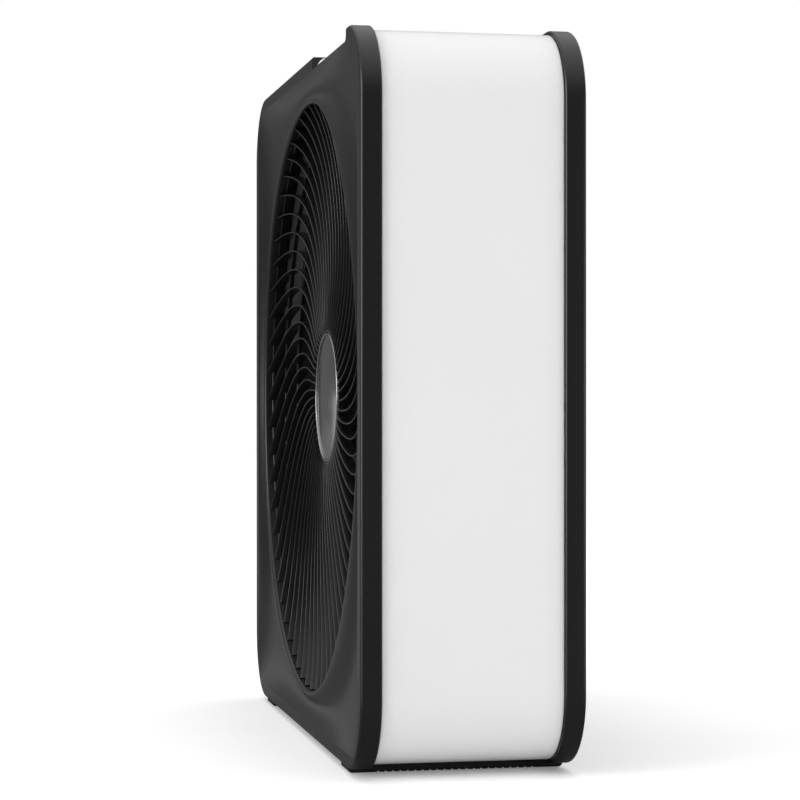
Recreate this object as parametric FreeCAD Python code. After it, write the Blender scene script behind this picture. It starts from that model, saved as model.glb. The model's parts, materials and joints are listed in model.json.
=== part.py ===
"""Square box fan with a swept-vane front grille, modelled as separate pieces.

Units are millimetres and +Z is up. The front of the fan faces -Y. The origin is on the floor,
in the middle of the footprint. The fan turns about an axis parallel to Y, at height AXIS_Z.
"""
import FreeCAD, Part
import math
import os

V = FreeCAD.Vector

# Overall size
WIDTH = 520.0                # across the bezels, along X
HEIGHT = 520.0               # across the bezels, along Z
DEPTH = 159.0                # front face to rear face, along Y
FOOT_DROP = 4.0              # how far the foot rails stand below the bezels
CORNER_R = 54.0              # outline corner radius of both bezels

# Bezels and side band
BEZEL_T = 15.0               # visible thickness of each bezel's side wall
EDGE_R = 2.6                 # rounding of the outer front and rear edges
WALL = 3.0                   # moulding wall
BAND_INSET = 3.0             # step from the bezel outline in to the band
SKIRT_L = 8.0                # bezel skirt that reaches into the band
SEAT_GAP = 0.2               # clearance between mouldings that slide together
RIM_W = 10.6                 # flat outer rim of the front bezel
RIM_CORNER_R = 26.0          # corner radius of the rim's inner edge
DISH_DEPTH = 8.0             # deepest part of the dished front face
OPENING_R = 229.0            # round opening in the front bezel
LIP_W = 12.0                 # opening edge to where the lip meets the dish
LIP_DROP = 3.1               # lip crest, behind the front plane
LIP_ROUND = 2.5              # rounding of the lip's inner edge
LIP_HOLLOW_R = 0.8           # how far the lip's flank is pulled in and back from straight
LIP_HOLLOW_Y = 0.5
RING_PAD_W = 19.0            # solid ring behind the lip, which takes the grille screws
RING_PAD_T = 6.0
REAR_OPENING_R = 222.0
REAR_STEP = 5.0              # recess of the rear panel inside its rim
BEZEL_FACE_SINK = 1.0        # start of the front bosses, behind the front plane

# Corner bosses and their screws
BOSS_INSET = 38.0            # boss centre, in from the bezel's outline
BOSS_R = 7.0
BOSS_BORE_R = 4.6            # access bore down the rear boss
BOSS_FLOOR = 8.0             # thickness left for the screw head to bear on
BOSS_PILOT = 16.0            # depth of the screw hole in the front boss
BOSS_MEET = 0.0              # plane where the front and rear bosses meet

# Front grille
VANE_COUNT = 59
VANE_T = 1.4
VANE_DEPTH = 9.0
VANE_START_DEG = -2.5        # angle of the first vane at the hub
VANE_SWEEP_LINEAR = 0.0621   # degrees per mm of radius
VANE_SWEEP_SQUARE = 0.000733  # degrees per square mm
VANE_SWEEP_R0 = 62.6
BOWL_DROPS = [18.7, 18.2, 18.2, 16.9, 13.4, 5.0]   # vane edge behind the front plane, hub to rim
HUB_R = 53.3
HUB_DROP = 19.7              # hub rim behind the front plane
HUB_DEPTH = 9.8
HUB_WALL = 2.6
HUB_FLOOR = 5.8              # leaves a seat as deep as the cap
HUB_CAP_T = 4.0
HUB_DOME = 2.2
HUB_TRIM_W = 1.6
STAY_INSETS = [67.0, 28.0]   # two round stays behind the vanes, in from the opening
STAY_W = 2.4
STAY_DEPTH = 4.0
GRILLE_RING_T = 3.0
GRILLE_RING_W = 19.0
GRILLE_RING_LAP = 1.5        # how far the ring reaches in past the opening's edge
GRILLE_GAP = 0.3             # vane tips to the bezel opening
COLLAR_DROP = 10.0           # front edge of the collar that joins the vane tips to the ring
STAY_LAP = 0.6               # stays end this far inside the vanes' back edge
HUB_TRIM_PROUD = 0.4
GRILLE_SCREW_INSET = 14.0    # grille screws, outside the opening
GRILLE_PILOT = 5.5

# Rear grille
REAR_RINGS = 11
REAR_RIBS = 12
REAR_BAR = 2.6
REAR_BAR_DEPTH = 5.0
REAR_HUB_R = 48.0
REAR_EDGE_W = 4.0            # outer ring of the rear grille
REAR_FLANGE_T = 2.0
REAR_RIB_DEEPER = 2.0        # ribs reach further into the housing than the rings
REAR_RIB_SINK = 1.0
REAR_PILOT = 8.0

# Air path
BLADE_COUNT = 5
BLADE_TIP_INSET = 26.0       # blade tips, inside the front opening
BLADE_T = 2.6
BLADE_HUB_R = 45.0
BLADE_HUB_L = 40.0
BLADE_HUB_WALL = 3.0
BLADE_BOSS_R = 10.0
BLADE_SETBACK = 52.0         # grille hub's back face to the back of the blade hub
BLADE_SECTIONS = [(0.0, 52.0, 40.0), (0.45, 88.0, 27.0), (1.0, 112.0, 19.0)]   # span share, chord, pitch
BLADE_CAMBER = 0.06          # share of the chord
TIP_GAP = 5.0                # blade tip to shroud
SHROUD_T = 2.2
SHROUD_FLANGE_W = 19.0
SHROUD_CONE_L = 11.0
SHROUD_FLARE = 12.0
SHROUD_FLARE_L = 4.0
SHROUD_OVERRUN = 8.0         # straight duct behind the blade hub
NUT_R = 12.0
NUT_L = 8.0
NUT_GRIPS = 12
NUT_GRIP_R = 1.6
NUT_CLOSED = 2.0             # nut's closed front end

# Motor, measured along the axis from the back of the blade hub
MOTOR_GAP = 6.0
MOTOR_R = 44.0
BELL_L = 14.0
BELL_WALL = 2.5
BELL_SLOTS = 8
BELL_SLOT_R0 = 16.0
BELL_SLOT_R1 = 32.0
BELL_SLOT_W = 4.0
CORE_L = 20.0
STATOR_BORE_R = 25.3
AIR_GAP = 0.5
TOOTH_COUNT = 8
TOOTH_W = 8.0
YOKE_T = 8.0
SHAFT_R = 4.0
SHAFT_CLEARANCE = 0.05
BEARING_R = 8.0
BEARING_L = 8.0
BEARING_BOSS_R = 11.0
WASHER_R = 7.5
WASHER_T = 1.0
WASHER_GAP = 0.3
COIL_GAP = 0.3
COIL_OVERHANG = 4.8
MOTOR_BOLT_R = 1.8
MOTOR_BOLT_CIRCLE_R = 38.6
MOTOR_BOLT_TAIL = 3.5        # bolt end behind the bracket
MOTOR_NUT_H = 2.6
BRACKET_T = 2.0
BRACKET_PLATE_R = 46.0
BRACKET_ARM_W = 18.0
BRACKET_LIP = 5.0            # folded edge that stiffens each arm
BRACKET_LIP_T = 1.5
BRACKET_LIP_START = 52.0
BRACKET_LIP_STOP = 14.0      # folded edge's end, short of the arm's screw
BRACKET_ARM_START = 36.0
BRACKET_ARM_END = 9.0        # arm's end, past its screw
BRACKET_BOSS_R = 5.0
BRACKET_PILOT = 9.0
BRACKET_SCREW_R = 276.0      # screws that hold the arms, from the fan's axis

# Controls in the top of the housing
RECESS_LEFT = 50.0
RECESS_RIGHT = 202.0
RECESS_DEPTH = 10.0          # notch in the top rim of the front bezel
RECESS_LENGTH = 94.0         # from the front end of the band towards the rear
RECESS_SINK = 0.8            # deck floor below the notch floor
SCOOP_R = 14.0               # curve where the deck floor meets its ends
NOTCH_DRAFT = 3.0            # lean of the notch's left wall
NOTCH_R = 5.0
DECK_T = 2.5
KNOB_X = 126.0
KNOB_Y = -12.0
KNOB_R = 16.0
KNOB_H = 9.0
KNOB_GAP = 0.4
KNOB_SKIRT = 0.6             # share of the height below the finger bar
KNOB_BAR_W = 6.0
KNOB_BAR_INSET = 1.0
KNOB_FLUTES = 24
KNOB_FLUTE_R = 1.2
KNOB_FLUTE_OUT = 0.4         # flute's centre, outside the knob's side
KNOB_ROOF = 2.0
SPINDLE_R = 3.0
SWITCH_W = 28.0
SWITCH_H = 20.0
SWITCH_CORNER_R = 3.0
SWITCH_TABS = [-9.0, -3.0, 3.0, 9.0]
SWITCH_TAB_W = 4.0
SWITCH_TAB_T = 0.8
SWITCH_TAB_L = 6.0
PART_GAP = 5.0               # switch to its neighbours in the box
CAPACITOR_SIZE = (34.0, 20.0, 22.0)
CAPACITOR_CORNER_R = 2.0
TERMINAL_SIZE = (34.0, 14.0, 14.0)
TERMINAL_PITCH = 8.4
TERMINAL_WELLS = 4
TERMINAL_WELL_R = 2.4
TERMINAL_WELL_DEPTH = 5.0
PART_OFFSET = 2.0            # capacitor and terminals, each side of the knob's axis
BOX_LEFT = 100.0
BOX_RIGHT = 194.0
BOX_HALF_DEPTH = 31.0
BOX_DROP = 40.0
BOX_WALL = 2.0
BOX_POST_R = 4.0
BOX_POST_H = 8.0
BOX_POST_INSET = 1.0         # post to the box's inner wall
BOX_EXIT_UP = 10.0           # lead holes, above the box's floor
BOX_EXIT_MOTOR = 30.0        # and in from the box's left and right ends
BOX_EXIT_SUPPLY = 14.0

# Cord inlet and internal leads
INLET_X = 206.0
INLET_Z = 58.0
INLET_BORE_R = 3.8
INLET_R = 7.0
INLET_PAD_W = 4.0
GLAND_FLANGE_W = 2.5
GLAND_FLANGE_T = 2.0
LEAD_R = 2.2
LEAD_SETBACK = 6.0           # lead's end, inside the inlet
LEAD_BEND = 10.0
LEAD_WALL_GAP = 16.0         # lead's centre to the band's inner face
LEAD_RISE = 40.0             # height of each slanted run at the sides
LEAD_STAND_OFF = 15.0        # supply lead behind the control box
LEAD_MOTOR_DEG = 62.0        # where the motor lead leaves the end shield
LEAD_MOTOR_GAP = 0.2
LEAD_MOTOR_OUT = 30.0

# Feet
FOOT_X = 186.5
FOOT_W = 30.0
FOOT_SETBACK = 2.0
PEG_R = 3.0
PEG_L = 9.0
PEG_SPACING = 52.0
FOOT_CHAMFER = 0.4           # shares of the rail's height
FOOT_PAD_START = 0.6

# Screws
SCREW_R = 1.7
SCREW_HEAD_R = 3.6
SCREW_HEAD_H = 2.4
SCREW_GAP = 0.05
SLOT_W = 0.8
HOUSING_SCREW_L = 22.0
GRILLE_SCREW_L = 10.0
REAR_SCREW_L = 9.0
BRACKET_SCREW_L = 10.0
BOX_SCREW_L = 10.0

FRONT = -DEPTH / 2
REAR = DEPTH / 2
AXIS_Z = FOOT_DROP + HEIGHT / 2
LIP_BASE_R = OPENING_R + LIP_W
GRILLE_SCREW_R = OPENING_R + GRILLE_SCREW_INSET
BLADE_TIP_R = OPENING_R - BLADE_TIP_INSET
TOP = FOOT_DROP + HEIGHT
BAND_FRONT = FRONT + BEZEL_T
BAND_REAR = REAR - BEZEL_T
BAND_TOP = TOP - BAND_INSET
BLADE_BACK = FRONT + HUB_DROP + HUB_DEPTH + BLADE_SETBACK    # rear face of the blade hub
CENTRE = V(0, 0, AXIS_Z)
Y_AXIS = V(0, 1, 0)
Z_AXIS = V(0, 0, 1)


def disc(radius, y0, y1, x=0.0, z=AXIS_Z):
    """Cylinder along Y from y0 to y1."""
    return Part.makeCylinder(radius, y1 - y0, V(x, y0, z), Y_AXIS)


def ring(outer, inner, y0, y1, x=0.0, z=AXIS_Z):
    return disc(outer, y0, y1, x, z).cut(disc(inner, y0 - 1, y1 + 1, x, z))


def box(x0, x1, y0, y1, z0, z1):
    return Part.makeBox(x1 - x0, y1 - y0, z1 - z0, V(x0, y0, z0))


def turned(shape, degrees):
    """A copy turned about the fan's axis; positive runs from +X towards +Z."""
    copy = shape.copy()
    copy.rotate(CENTRE, Y_AXIS, -degrees)
    return copy


def around(shape, count, start=0.0):
    return [turned(shape, start + 360.0 * i / count) for i in range(count)]


def polar(radius, degrees):
    angle = math.radians(degrees)
    return radius * math.cos(angle), AXIS_Z + radius * math.sin(angle)


def revolved(edges):
    """Solid from a closed profile in the plane X = radius, turned about the fan's axis."""
    face = Part.Face(Part.Wire(edges))
    return face.revolve(CENTRE, Y_AXIS, 360)


def profile(points):
    """Straight-sided profile from (radius, y) pairs, ready to revolve."""
    corners = [V(r, y, AXIS_Z) for r, y in points]
    corners.append(corners[0])
    return Part.makePolygon(corners).Edges


def rounded_outline(width, height, radius, y):
    """Closed rounded rectangle about the fan's axis, eight edges, starting on the right."""
    hx, hz, diagonal = width / 2, height / 2, radius * math.sqrt(0.5)
    edges = []
    corners = [(1, 1), (-1, 1), (-1, -1), (1, -1)]
    for i, (sx, sz) in enumerate(corners):
        cx, cz = sx * (hx - radius), AXIS_Z + sz * (hz - radius)
        on_side = V(cx + sx * radius, y, cz)
        on_top = V(cx, y, cz + sz * radius)
        middle = V(cx + sx * diagonal, y, cz + sz * diagonal)
        first, last = (on_side, on_top) if i % 2 == 0 else (on_top, on_side)
        if edges:
            edges.append(Part.LineSegment(edges[-1].lastVertex(True).Point, first).toShape())
        edges.append(Part.Arc(first, middle, last).toShape())
    start = edges[0].firstVertex(True).Point
    edges.append(Part.LineSegment(edges[-1].lastVertex(True).Point, start).toShape())
    return Part.Wire(edges)


def rounded_block(width, height, radius, y0, y1):
    return Part.Face(rounded_outline(width, height, radius, y0)).extrude(V(0, y1 - y0, 0))


def rounded_tube(inset, wall, y0, y1):
    """Rounded-square tube whose outside is the bezel outline moved in by inset."""
    outer = rounded_block(WIDTH - 2 * inset, HEIGHT - 2 * inset, CORNER_R - inset, y0, y1)
    total = inset + wall
    inner = rounded_block(WIDTH - 2 * total, HEIGHT - 2 * total, CORNER_R - total, y0 - 1, y1 + 1)
    return outer.cut(inner)


def edge_rounded(block, y):
    """Round the outline edges of a block that lie in the plane at y."""
    edges = [e for e in block.Edges if abs(e.BoundBox.YMin - y) < 1e-6 and abs(e.BoundBox.YMax - y) < 1e-6]
    return block.makeFillet(EDGE_R, edges)


def split_circle(radius, y):
    """Circle cut into eight arcs that match the edges of a rounded outline."""
    bounds = [10.0, 80.0, 100.0, 170.0, 190.0, 260.0, 280.0, 350.0, 370.0]
    edges = []
    for a, b in zip(bounds, bounds[1:]):
        points = []
        for angle in (a, (a + b) / 2, b):
            x, z = polar(radius, angle)
            points.append(V(x, y, z))
        edges.append(Part.Arc(*points).toShape())
    return Part.Wire(edges)


def pan_screw(x, y, z, length, toward):
    """Screw whose head bears on the plane at y and whose shank runs toward +Y or -Y."""
    shank_end = y + toward * length
    head_end = y - toward * SCREW_HEAD_H
    shank = disc(SCREW_R, min(y, shank_end), max(y, shank_end), x, z)
    head = disc(SCREW_HEAD_R, min(y, head_end), max(y, head_end), x, z)
    slot_y = head_end + toward * SCREW_HEAD_H / 2
    slot = box(x - SCREW_HEAD_R, x + SCREW_HEAD_R, min(head_end, slot_y), max(head_end, slot_y),
               z - SLOT_W / 2, z + SLOT_W / 2)
    return shank.fuse(head).removeSplitter().cut(slot)


def corner_points():
    hx, hz = WIDTH / 2 - BOSS_INSET, HEIGHT / 2 - BOSS_INSET
    return [(sx * hx, AXIS_Z + sz * hz) for sx in (-1, 1) for sz in (-1, 1)]


def screw_circle(radius, count=8, start=22.5):
    return [polar(radius, start + 360.0 * i / count) for i in range(count)]


def recess_cutter(margin, floor_z, y0, y1):
    """Straight-walled block that clears the control recess from other pieces."""
    return box(RECESS_LEFT - margin, RECESS_RIGHT + margin, y0, y1, floor_z, TOP + 5)


# ---------------------------------------------------------------- housing mouldings

def lip():
    """Raised round lip around the front opening, with a hollow flank and a rounded edge."""
    crest_r, crest_y = OPENING_R + LIP_ROUND, FRONT + LIP_DROP
    base_y, back_y = FRONT + DISH_DEPTH, BAND_FRONT
    bend = LIP_ROUND * (1 - math.sqrt(0.5))
    wall_top = V(OPENING_R, crest_y + LIP_ROUND, AXIS_Z)
    bend_point = V(OPENING_R + bend, crest_y + bend, AXIS_Z)
    crest = V(crest_r, crest_y, AXIS_Z)
    base = V(LIP_BASE_R, base_y, AXIS_Z)
    flank = V((crest_r + LIP_BASE_R) / 2 - LIP_HOLLOW_R, (crest_y + base_y) / 2 + LIP_HOLLOW_Y, AXIS_Z)
    back_outer = V(LIP_BASE_R, back_y, AXIS_Z)
    back_inner = V(OPENING_R, back_y, AXIS_Z)
    edges = [Part.Arc(wall_top, bend_point, crest).toShape(),
             Part.Arc(crest, flank, base).toShape(),
             Part.LineSegment(base, back_outer).toShape(),
             Part.LineSegment(back_outer, back_inner).toShape(),
             Part.LineSegment(back_inner, wall_top).toShape()]
    return revolved(edges)


def dish(shift):
    """Space in front of the dished face, moved back by shift."""
    y = FRONT + shift
    outer = rounded_outline(WIDTH - 2 * RIM_W, HEIGHT - 2 * RIM_W, RIM_CORNER_R, y)
    return Part.makeLoft([outer, split_circle(LIP_BASE_R, y + DISH_DEPTH)], True, True)


def front_notch():
    """Cut in the top rim: left wall drafted, right end with a rounded floor."""
    y0, y1 = FRONT - 1, BAND_FRONT + 1
    floor_z, high_z = TOP - RECESS_DEPTH, TOP + 5
    corners = [V(RECESS_LEFT + NOTCH_DRAFT, y0, floor_z), V(RECESS_RIGHT, y0, floor_z),
               V(RECESS_RIGHT, y0, high_z), V(RECESS_LEFT, y0, high_z)]
    block = Part.Face(Part.makePolygon(corners + [corners[0]])).extrude(V(0, y1 - y0, 0))
    edges = [e for e in block.Edges
             if abs(e.BoundBox.XMin - RECESS_RIGHT) < 1e-6 and abs(e.BoundBox.ZMax - floor_z) < 1e-6]
    return block.makeFillet(NOTCH_R, edges)


def notch_surround():
    """Material that closes the hollow bezel behind and below the notch."""
    return box(RECESS_LEFT - WALL, RECESS_RIGHT + WALL, FRONT + BEZEL_FACE_SINK, BAND_FRONT,
               TOP - RECESS_DEPTH - WALL, TOP - BAND_INSET)


def bezel_cavity(y0, y1):
    inset = BAND_INSET + WALL + SEAT_GAP
    return rounded_block(WIDTH - 2 * inset, HEIGHT - 2 * inset, CORNER_R - inset, y0, y1)


def skirt(y0, y1):
    return rounded_tube(BAND_INSET + WALL + SEAT_GAP, WALL, y0, y1)


def front_bezel():
    body = edge_rounded(rounded_block(WIDTH, HEIGHT, CORNER_R, FRONT, BAND_FRONT), FRONT)
    body = body.cut(dish(0.0))
    body = body.cut(bezel_cavity(FRONT + WALL, BAND_FRONT + 1).cut(dish(WALL)))
    back_ring = ring(OPENING_R + RING_PAD_W, OPENING_R, BAND_FRONT - RING_PAD_T, BAND_FRONT)
    shelf = ring(LIP_BASE_R + 2 * WALL, OPENING_R, FRONT + DISH_DEPTH, BAND_FRONT)
    body = body.fuse([lip(), back_ring, shelf, notch_surround().cut(dish(0.0))])
    body = body.fuse([skirt(BAND_FRONT - WALL, BAND_FRONT + SKIRT_L)])
    boss_front = FRONT + BEZEL_FACE_SINK
    body = body.fuse([disc(BOSS_R, boss_front, BOSS_MEET, x, z).cut(dish(0.0)) for x, z in corner_points()])
    body = body.cut(disc(OPENING_R, FRONT - 1, BAND_FRONT + SKIRT_L + 1))
    for x, z in corner_points():
        body = body.cut(disc(SCREW_R + SCREW_GAP, BOSS_MEET - BOSS_PILOT, BOSS_MEET + 1, x, z))
    for x, z in screw_circle(GRILLE_SCREW_R):
        body = body.cut(disc(SCREW_R + SCREW_GAP, BAND_FRONT - GRILLE_PILOT, BAND_FRONT + 1, x, z))
    body = body.cut(front_notch())
    deck_floor = TOP - RECESS_DEPTH - RECESS_SINK - DECK_T - SEAT_GAP
    body = body.cut(recess_cutter(DECK_T + SEAT_GAP, deck_floor, BAND_FRONT, BAND_FRONT + SKIRT_L + 1))
    return body.removeSplitter()


def rear_bezel():
    body = edge_rounded(rounded_block(WIDTH, HEIGHT, CORNER_R, BAND_REAR, REAR), REAR)
    panel_back = REAR - REAR_STEP
    body = body.cut(rounded_block(WIDTH - 2 * RIM_W, HEIGHT - 2 * RIM_W, CORNER_R - RIM_W,
                                  panel_back, REAR + 1))
    body = body.cut(bezel_cavity(BAND_REAR - 1, panel_back - WALL))
    collar = ring(REAR_OPENING_R + 2 * WALL, REAR_OPENING_R, BAND_REAR, panel_back)
    body = body.fuse([collar, skirt(BAND_REAR - SKIRT_L, BAND_REAR + WALL)])
    body = body.fuse([disc(BOSS_R, BOSS_MEET, panel_back - 1, x, z) for x, z in corner_points()])
    arm_y = bracket_front() + BRACKET_T
    arm_points = screw_circle(BRACKET_SCREW_R, 4, 45.0)
    body = body.fuse([disc(BRACKET_BOSS_R, arm_y, panel_back - 1, x, z) for x, z in arm_points])
    inlet_pad = disc(INLET_R + INLET_PAD_W, BAND_REAR, panel_back - 1, INLET_X, INLET_Z)
    body = body.fuse([inlet_pad])
    body = body.cut(disc(REAR_OPENING_R, BAND_REAR - SKIRT_L - 1, REAR + 1))
    for x, z in corner_points():
        body = body.cut(disc(BOSS_BORE_R, BOSS_MEET + BOSS_FLOOR, REAR + 1, x, z))
        body = body.cut(disc(SCREW_R + SCREW_GAP, BOSS_MEET - 1, BOSS_MEET + BOSS_FLOOR + 1, x, z))
    for x, z in arm_points:
        body = body.cut(disc(SCREW_R + SCREW_GAP, arm_y - 1, arm_y + BRACKET_PILOT, x, z))
    for x, z in screw_circle(REAR_OPENING_R + WALL):
        body = body.cut(disc(SCREW_R + SCREW_GAP, panel_back - REAR_PILOT, REAR + 1, x, z))
    body = body.cut(disc(INLET_R, BAND_REAR - 1, REAR + 1, INLET_X, INLET_Z))
    return body.removeSplitter()


def side_band():
    """White band between the bezels, open at the top where the control deck drops in."""
    band = rounded_tube(BAND_INSET, WALL, BAND_FRONT, BAND_REAR)
    floor_z = TOP - RECESS_DEPTH - RECESS_SINK - DECK_T
    band = band.cut(recess_cutter(DECK_T, floor_z, BAND_FRONT - 1, BAND_FRONT + RECESS_LENGTH + DECK_T))
    bottom = FOOT_DROP + BAND_INSET
    for x in (-FOOT_X, FOOT_X):
        for y in peg_places():
            hole = Part.makeCylinder(PEG_R + SCREW_GAP, WALL + 2, V(x, y, bottom - 1), Z_AXIS)
            band = band.cut(hole)
    return band


def control_deck():
    """White trough that carries the knob. Its floor curves up to the band at each end."""
    floor_z = TOP - RECESS_DEPTH - RECESS_SINK
    y0, y1 = BAND_FRONT, BAND_FRONT + RECESS_LENGTH
    outer = box(RECESS_LEFT - DECK_T, RECESS_RIGHT + DECK_T, y0, y1 + DECK_T, floor_z - DECK_T, BAND_TOP)
    rise = BAND_TOP - floor_z
    run = math.sqrt(SCOOP_R ** 2 - (SCOOP_R - rise) ** 2)
    half_rise = SCOOP_R - math.sqrt(SCOOP_R ** 2 - (run / 2) ** 2)
    left_top = V(RECESS_LEFT, y0 - 1, BAND_TOP)
    left_mid = V(RECESS_LEFT + run / 2, y0 - 1, floor_z + half_rise)
    left_low = V(RECESS_LEFT + run, y0 - 1, floor_z)
    right_low = V(RECESS_RIGHT - run, y0 - 1, floor_z)
    right_mid = V(RECESS_RIGHT - run / 2, y0 - 1, floor_z + half_rise)
    right_top = V(RECESS_RIGHT, y0 - 1, BAND_TOP)
    edges = [Part.Arc(left_top, left_mid, left_low).toShape(),
             Part.LineSegment(left_low, right_low).toShape(),
             Part.Arc(right_low, right_mid, right_top).toShape(),
             Part.LineSegment(right_top, left_top).toShape()]
    trough = Part.Face(Part.Wire(edges)).extrude(V(0, y1 - y0 + 1, 0))
    deck = outer.cut(trough)
    hole = Part.makeCylinder(SPINDLE_R + SHAFT_CLEARANCE, 4 * DECK_T,
                             V(KNOB_X, KNOB_Y, floor_z - 2 * DECK_T), Z_AXIS)
    deck = deck.cut(hole)
    for x, y in box_screw_places():
        pilot = Part.makeCylinder(SCREW_R + SCREW_GAP, BOX_POST_H, V(x, y, deck_under() - BOX_POST_H), Z_AXIS)
        post = Part.makeCylinder(BOX_POST_R, BOX_POST_H, V(x, y, deck_under() - BOX_POST_H), Z_AXIS)
        deck = deck.fuse(post.cut(pilot))
    return deck.removeSplitter()


def deck_under():
    return TOP - RECESS_DEPTH - RECESS_SINK - DECK_T


def box_screw_places():
    inset = BOX_WALL + BOX_POST_R + BOX_POST_INSET
    xs = (BOX_LEFT + inset, BOX_RIGHT - inset)
    ys = (KNOB_Y - BOX_HALF_DEPTH + inset, KNOB_Y + BOX_HALF_DEPTH - inset)
    return [(x, y) for x in xs for y in ys]


def control_box():
    """Closed tray under the deck that keeps the switch, terminals and capacitor out of the air."""
    y0, y1 = KNOB_Y - BOX_HALF_DEPTH, KNOB_Y + BOX_HALF_DEPTH
    z0, z1 = deck_under() - BOX_DROP, deck_under()
    tray = box(BOX_LEFT, BOX_RIGHT, y0, y1, z0, z1)
    tray = tray.cut(box(BOX_LEFT + BOX_WALL, BOX_RIGHT - BOX_WALL, y0 + BOX_WALL, y1 - BOX_WALL,
                        z0 + BOX_WALL, z1 + 1))
    for x, y in box_screw_places():
        column = Part.makeCylinder(BOX_POST_R, BOX_DROP - BOX_POST_H - SEAT_GAP, V(x, y, z0), Z_AXIS)
        bore = Part.makeCylinder(SCREW_R + SCREW_GAP, BOX_DROP, V(x, y, z0 - 1), Z_AXIS)
        well = Part.makeCylinder(SCREW_HEAD_R + SCREW_GAP, BOX_DROP - BOX_POST_H - 2 * DECK_T,
                                 V(x, y, z0 - 1), Z_AXIS)
        tray = tray.fuse(column).cut(bore).cut(well)
    for x, z in (lead_exit_motor(), lead_exit_supply()):
        tray = tray.cut(disc(LEAD_R + SEAT_GAP, y1 - BOX_WALL - 1, y1 + 1, x, z))
    return tray.removeSplitter()


def lead_exit_motor():
    return BOX_LEFT + BOX_EXIT_MOTOR, deck_under() - BOX_DROP + BOX_EXIT_UP


def lead_exit_supply():
    return BOX_RIGHT - BOX_EXIT_SUPPLY, deck_under() - BOX_DROP + BOX_EXIT_UP


# ---------------------------------------------------------------- grilles and trim

def vane_angle(radius):
    run = radius - VANE_SWEEP_R0
    return VANE_START_DEG + VANE_SWEEP_LINEAR * run + VANE_SWEEP_SQUARE * run ** 2


def vane_side(side, y):
    """One long side of a vane's strip, as a smooth curve from hub to rim."""
    inner, outer, steps = HUB_R - HUB_WALL / 2, OPENING_R - GRILLE_GAP, 8
    points = []
    for i in range(steps + 1):
        radius = inner + (outer - inner) * i / steps
        angle = math.radians(vane_angle(radius))
        slope = math.radians(VANE_SWEEP_LINEAR + 2 * VANE_SWEEP_SQUARE * (radius - VANE_SWEEP_R0)) * radius
        heading = angle + math.atan(slope)
        x = radius * math.cos(angle) - side * math.sin(heading)
        z = radius * math.sin(angle) + side * math.cos(heading)
        points.append(V(x, y, AXIS_Z + z))
    curve = Part.BSplineCurve()
    curve.interpolate(points)
    return curve.toShape()


def bowl_curve(shift):
    inner, outer = HUB_R - HUB_WALL, OPENING_R - GRILLE_GAP
    count = len(BOWL_DROPS) - 1
    points = [V(inner + (outer - inner) * i / count, FRONT + drop + shift, AXIS_Z)
              for i, drop in enumerate(BOWL_DROPS)]
    curve = Part.BSplineCurve()
    curve.interpolate(points)
    return curve.toShape()


def vane():
    """A thin upright strip, swept like a wave, cut to the bowl shape front and back."""
    left, right = vane_side(VANE_T / 2, FRONT), vane_side(-VANE_T / 2, FRONT)
    ends = [Part.LineSegment(left.Vertexes[0].Point, right.Vertexes[0].Point).toShape(),
            Part.LineSegment(left.Vertexes[1].Point, right.Vertexes[1].Point).toShape()]
    strip = Part.Face(Part.Wire(Part.__sortEdges__([left, right] + ends)))
    strip = strip.extrude(V(0, BEZEL_T * 3, 0))
    front, back = bowl_curve(0.0), bowl_curve(VANE_DEPTH)
    sides = [Part.LineSegment(front.Vertexes[0].Point, back.Vertexes[0].Point).toShape(),
             Part.LineSegment(front.Vertexes[1].Point, back.Vertexes[1].Point).toShape()]
    bowl = revolved(Part.__sortEdges__([front, back] + sides))
    return strip.common(bowl)


def bowl_drop(radius):
    """Vane edge behind the front plane, by straight steps between the given drops."""
    inner, outer = HUB_R - HUB_WALL, OPENING_R - GRILLE_GAP
    place = (radius - inner) / (outer - inner) * (len(BOWL_DROPS) - 1)
    i = min(int(place), len(BOWL_DROPS) - 2)
    return BOWL_DROPS[i] + (BOWL_DROPS[i + 1] - BOWL_DROPS[i]) * (place - i)


def front_grille():
    hub_front = FRONT + HUB_DROP
    hub = disc(HUB_R, hub_front, hub_front + HUB_DEPTH)
    hub = hub.cut(disc(HUB_R - HUB_WALL, hub_front - 1, hub_front + HUB_DEPTH - HUB_FLOOR))
    pieces = around(vane(), VANE_COUNT)
    for radius in [OPENING_R - inset for inset in STAY_INSETS]:
        back = FRONT + bowl_drop(radius) + VANE_DEPTH - STAY_LAP
        pieces.append(ring(radius + STAY_W / 2, radius - STAY_W / 2, back - STAY_DEPTH, back))
    outer = ring(OPENING_R + GRILLE_RING_W, OPENING_R - GRILLE_RING_LAP, BAND_FRONT, BAND_FRONT + GRILLE_RING_T)
    for x, z in screw_circle(GRILLE_SCREW_R):
        outer = outer.cut(disc(SCREW_R + SCREW_GAP, BAND_FRONT - 1, BAND_FRONT + GRILLE_RING_T + 1, x, z))
    collar = ring(OPENING_R - GRILLE_GAP, OPENING_R - GRILLE_RING_LAP, FRONT + COLLAR_DROP, BAND_FRONT + 1)
    pieces += [outer, collar]
    return hub.fuse(pieces)


def hub_cap():
    """Plain domed disc that covers the grille's hub."""
    y = FRONT + HUB_DROP
    radius = HUB_R - HUB_WALL - HUB_TRIM_W
    sphere_r = (radius ** 2 + HUB_DOME ** 2) / (2 * HUB_DOME)
    nose = y - HUB_DOME / 2
    dome = Part.makeSphere(sphere_r, V(0, nose + sphere_r, AXIS_Z))
    return disc(radius, nose - 1, y + HUB_CAP_T).common(dome)


def hub_trim_ring():
    y = FRONT + HUB_DROP
    outer = HUB_R - HUB_WALL
    return ring(outer, outer - HUB_TRIM_W, y - HUB_TRIM_PROUD, y + HUB_CAP_T)


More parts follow.
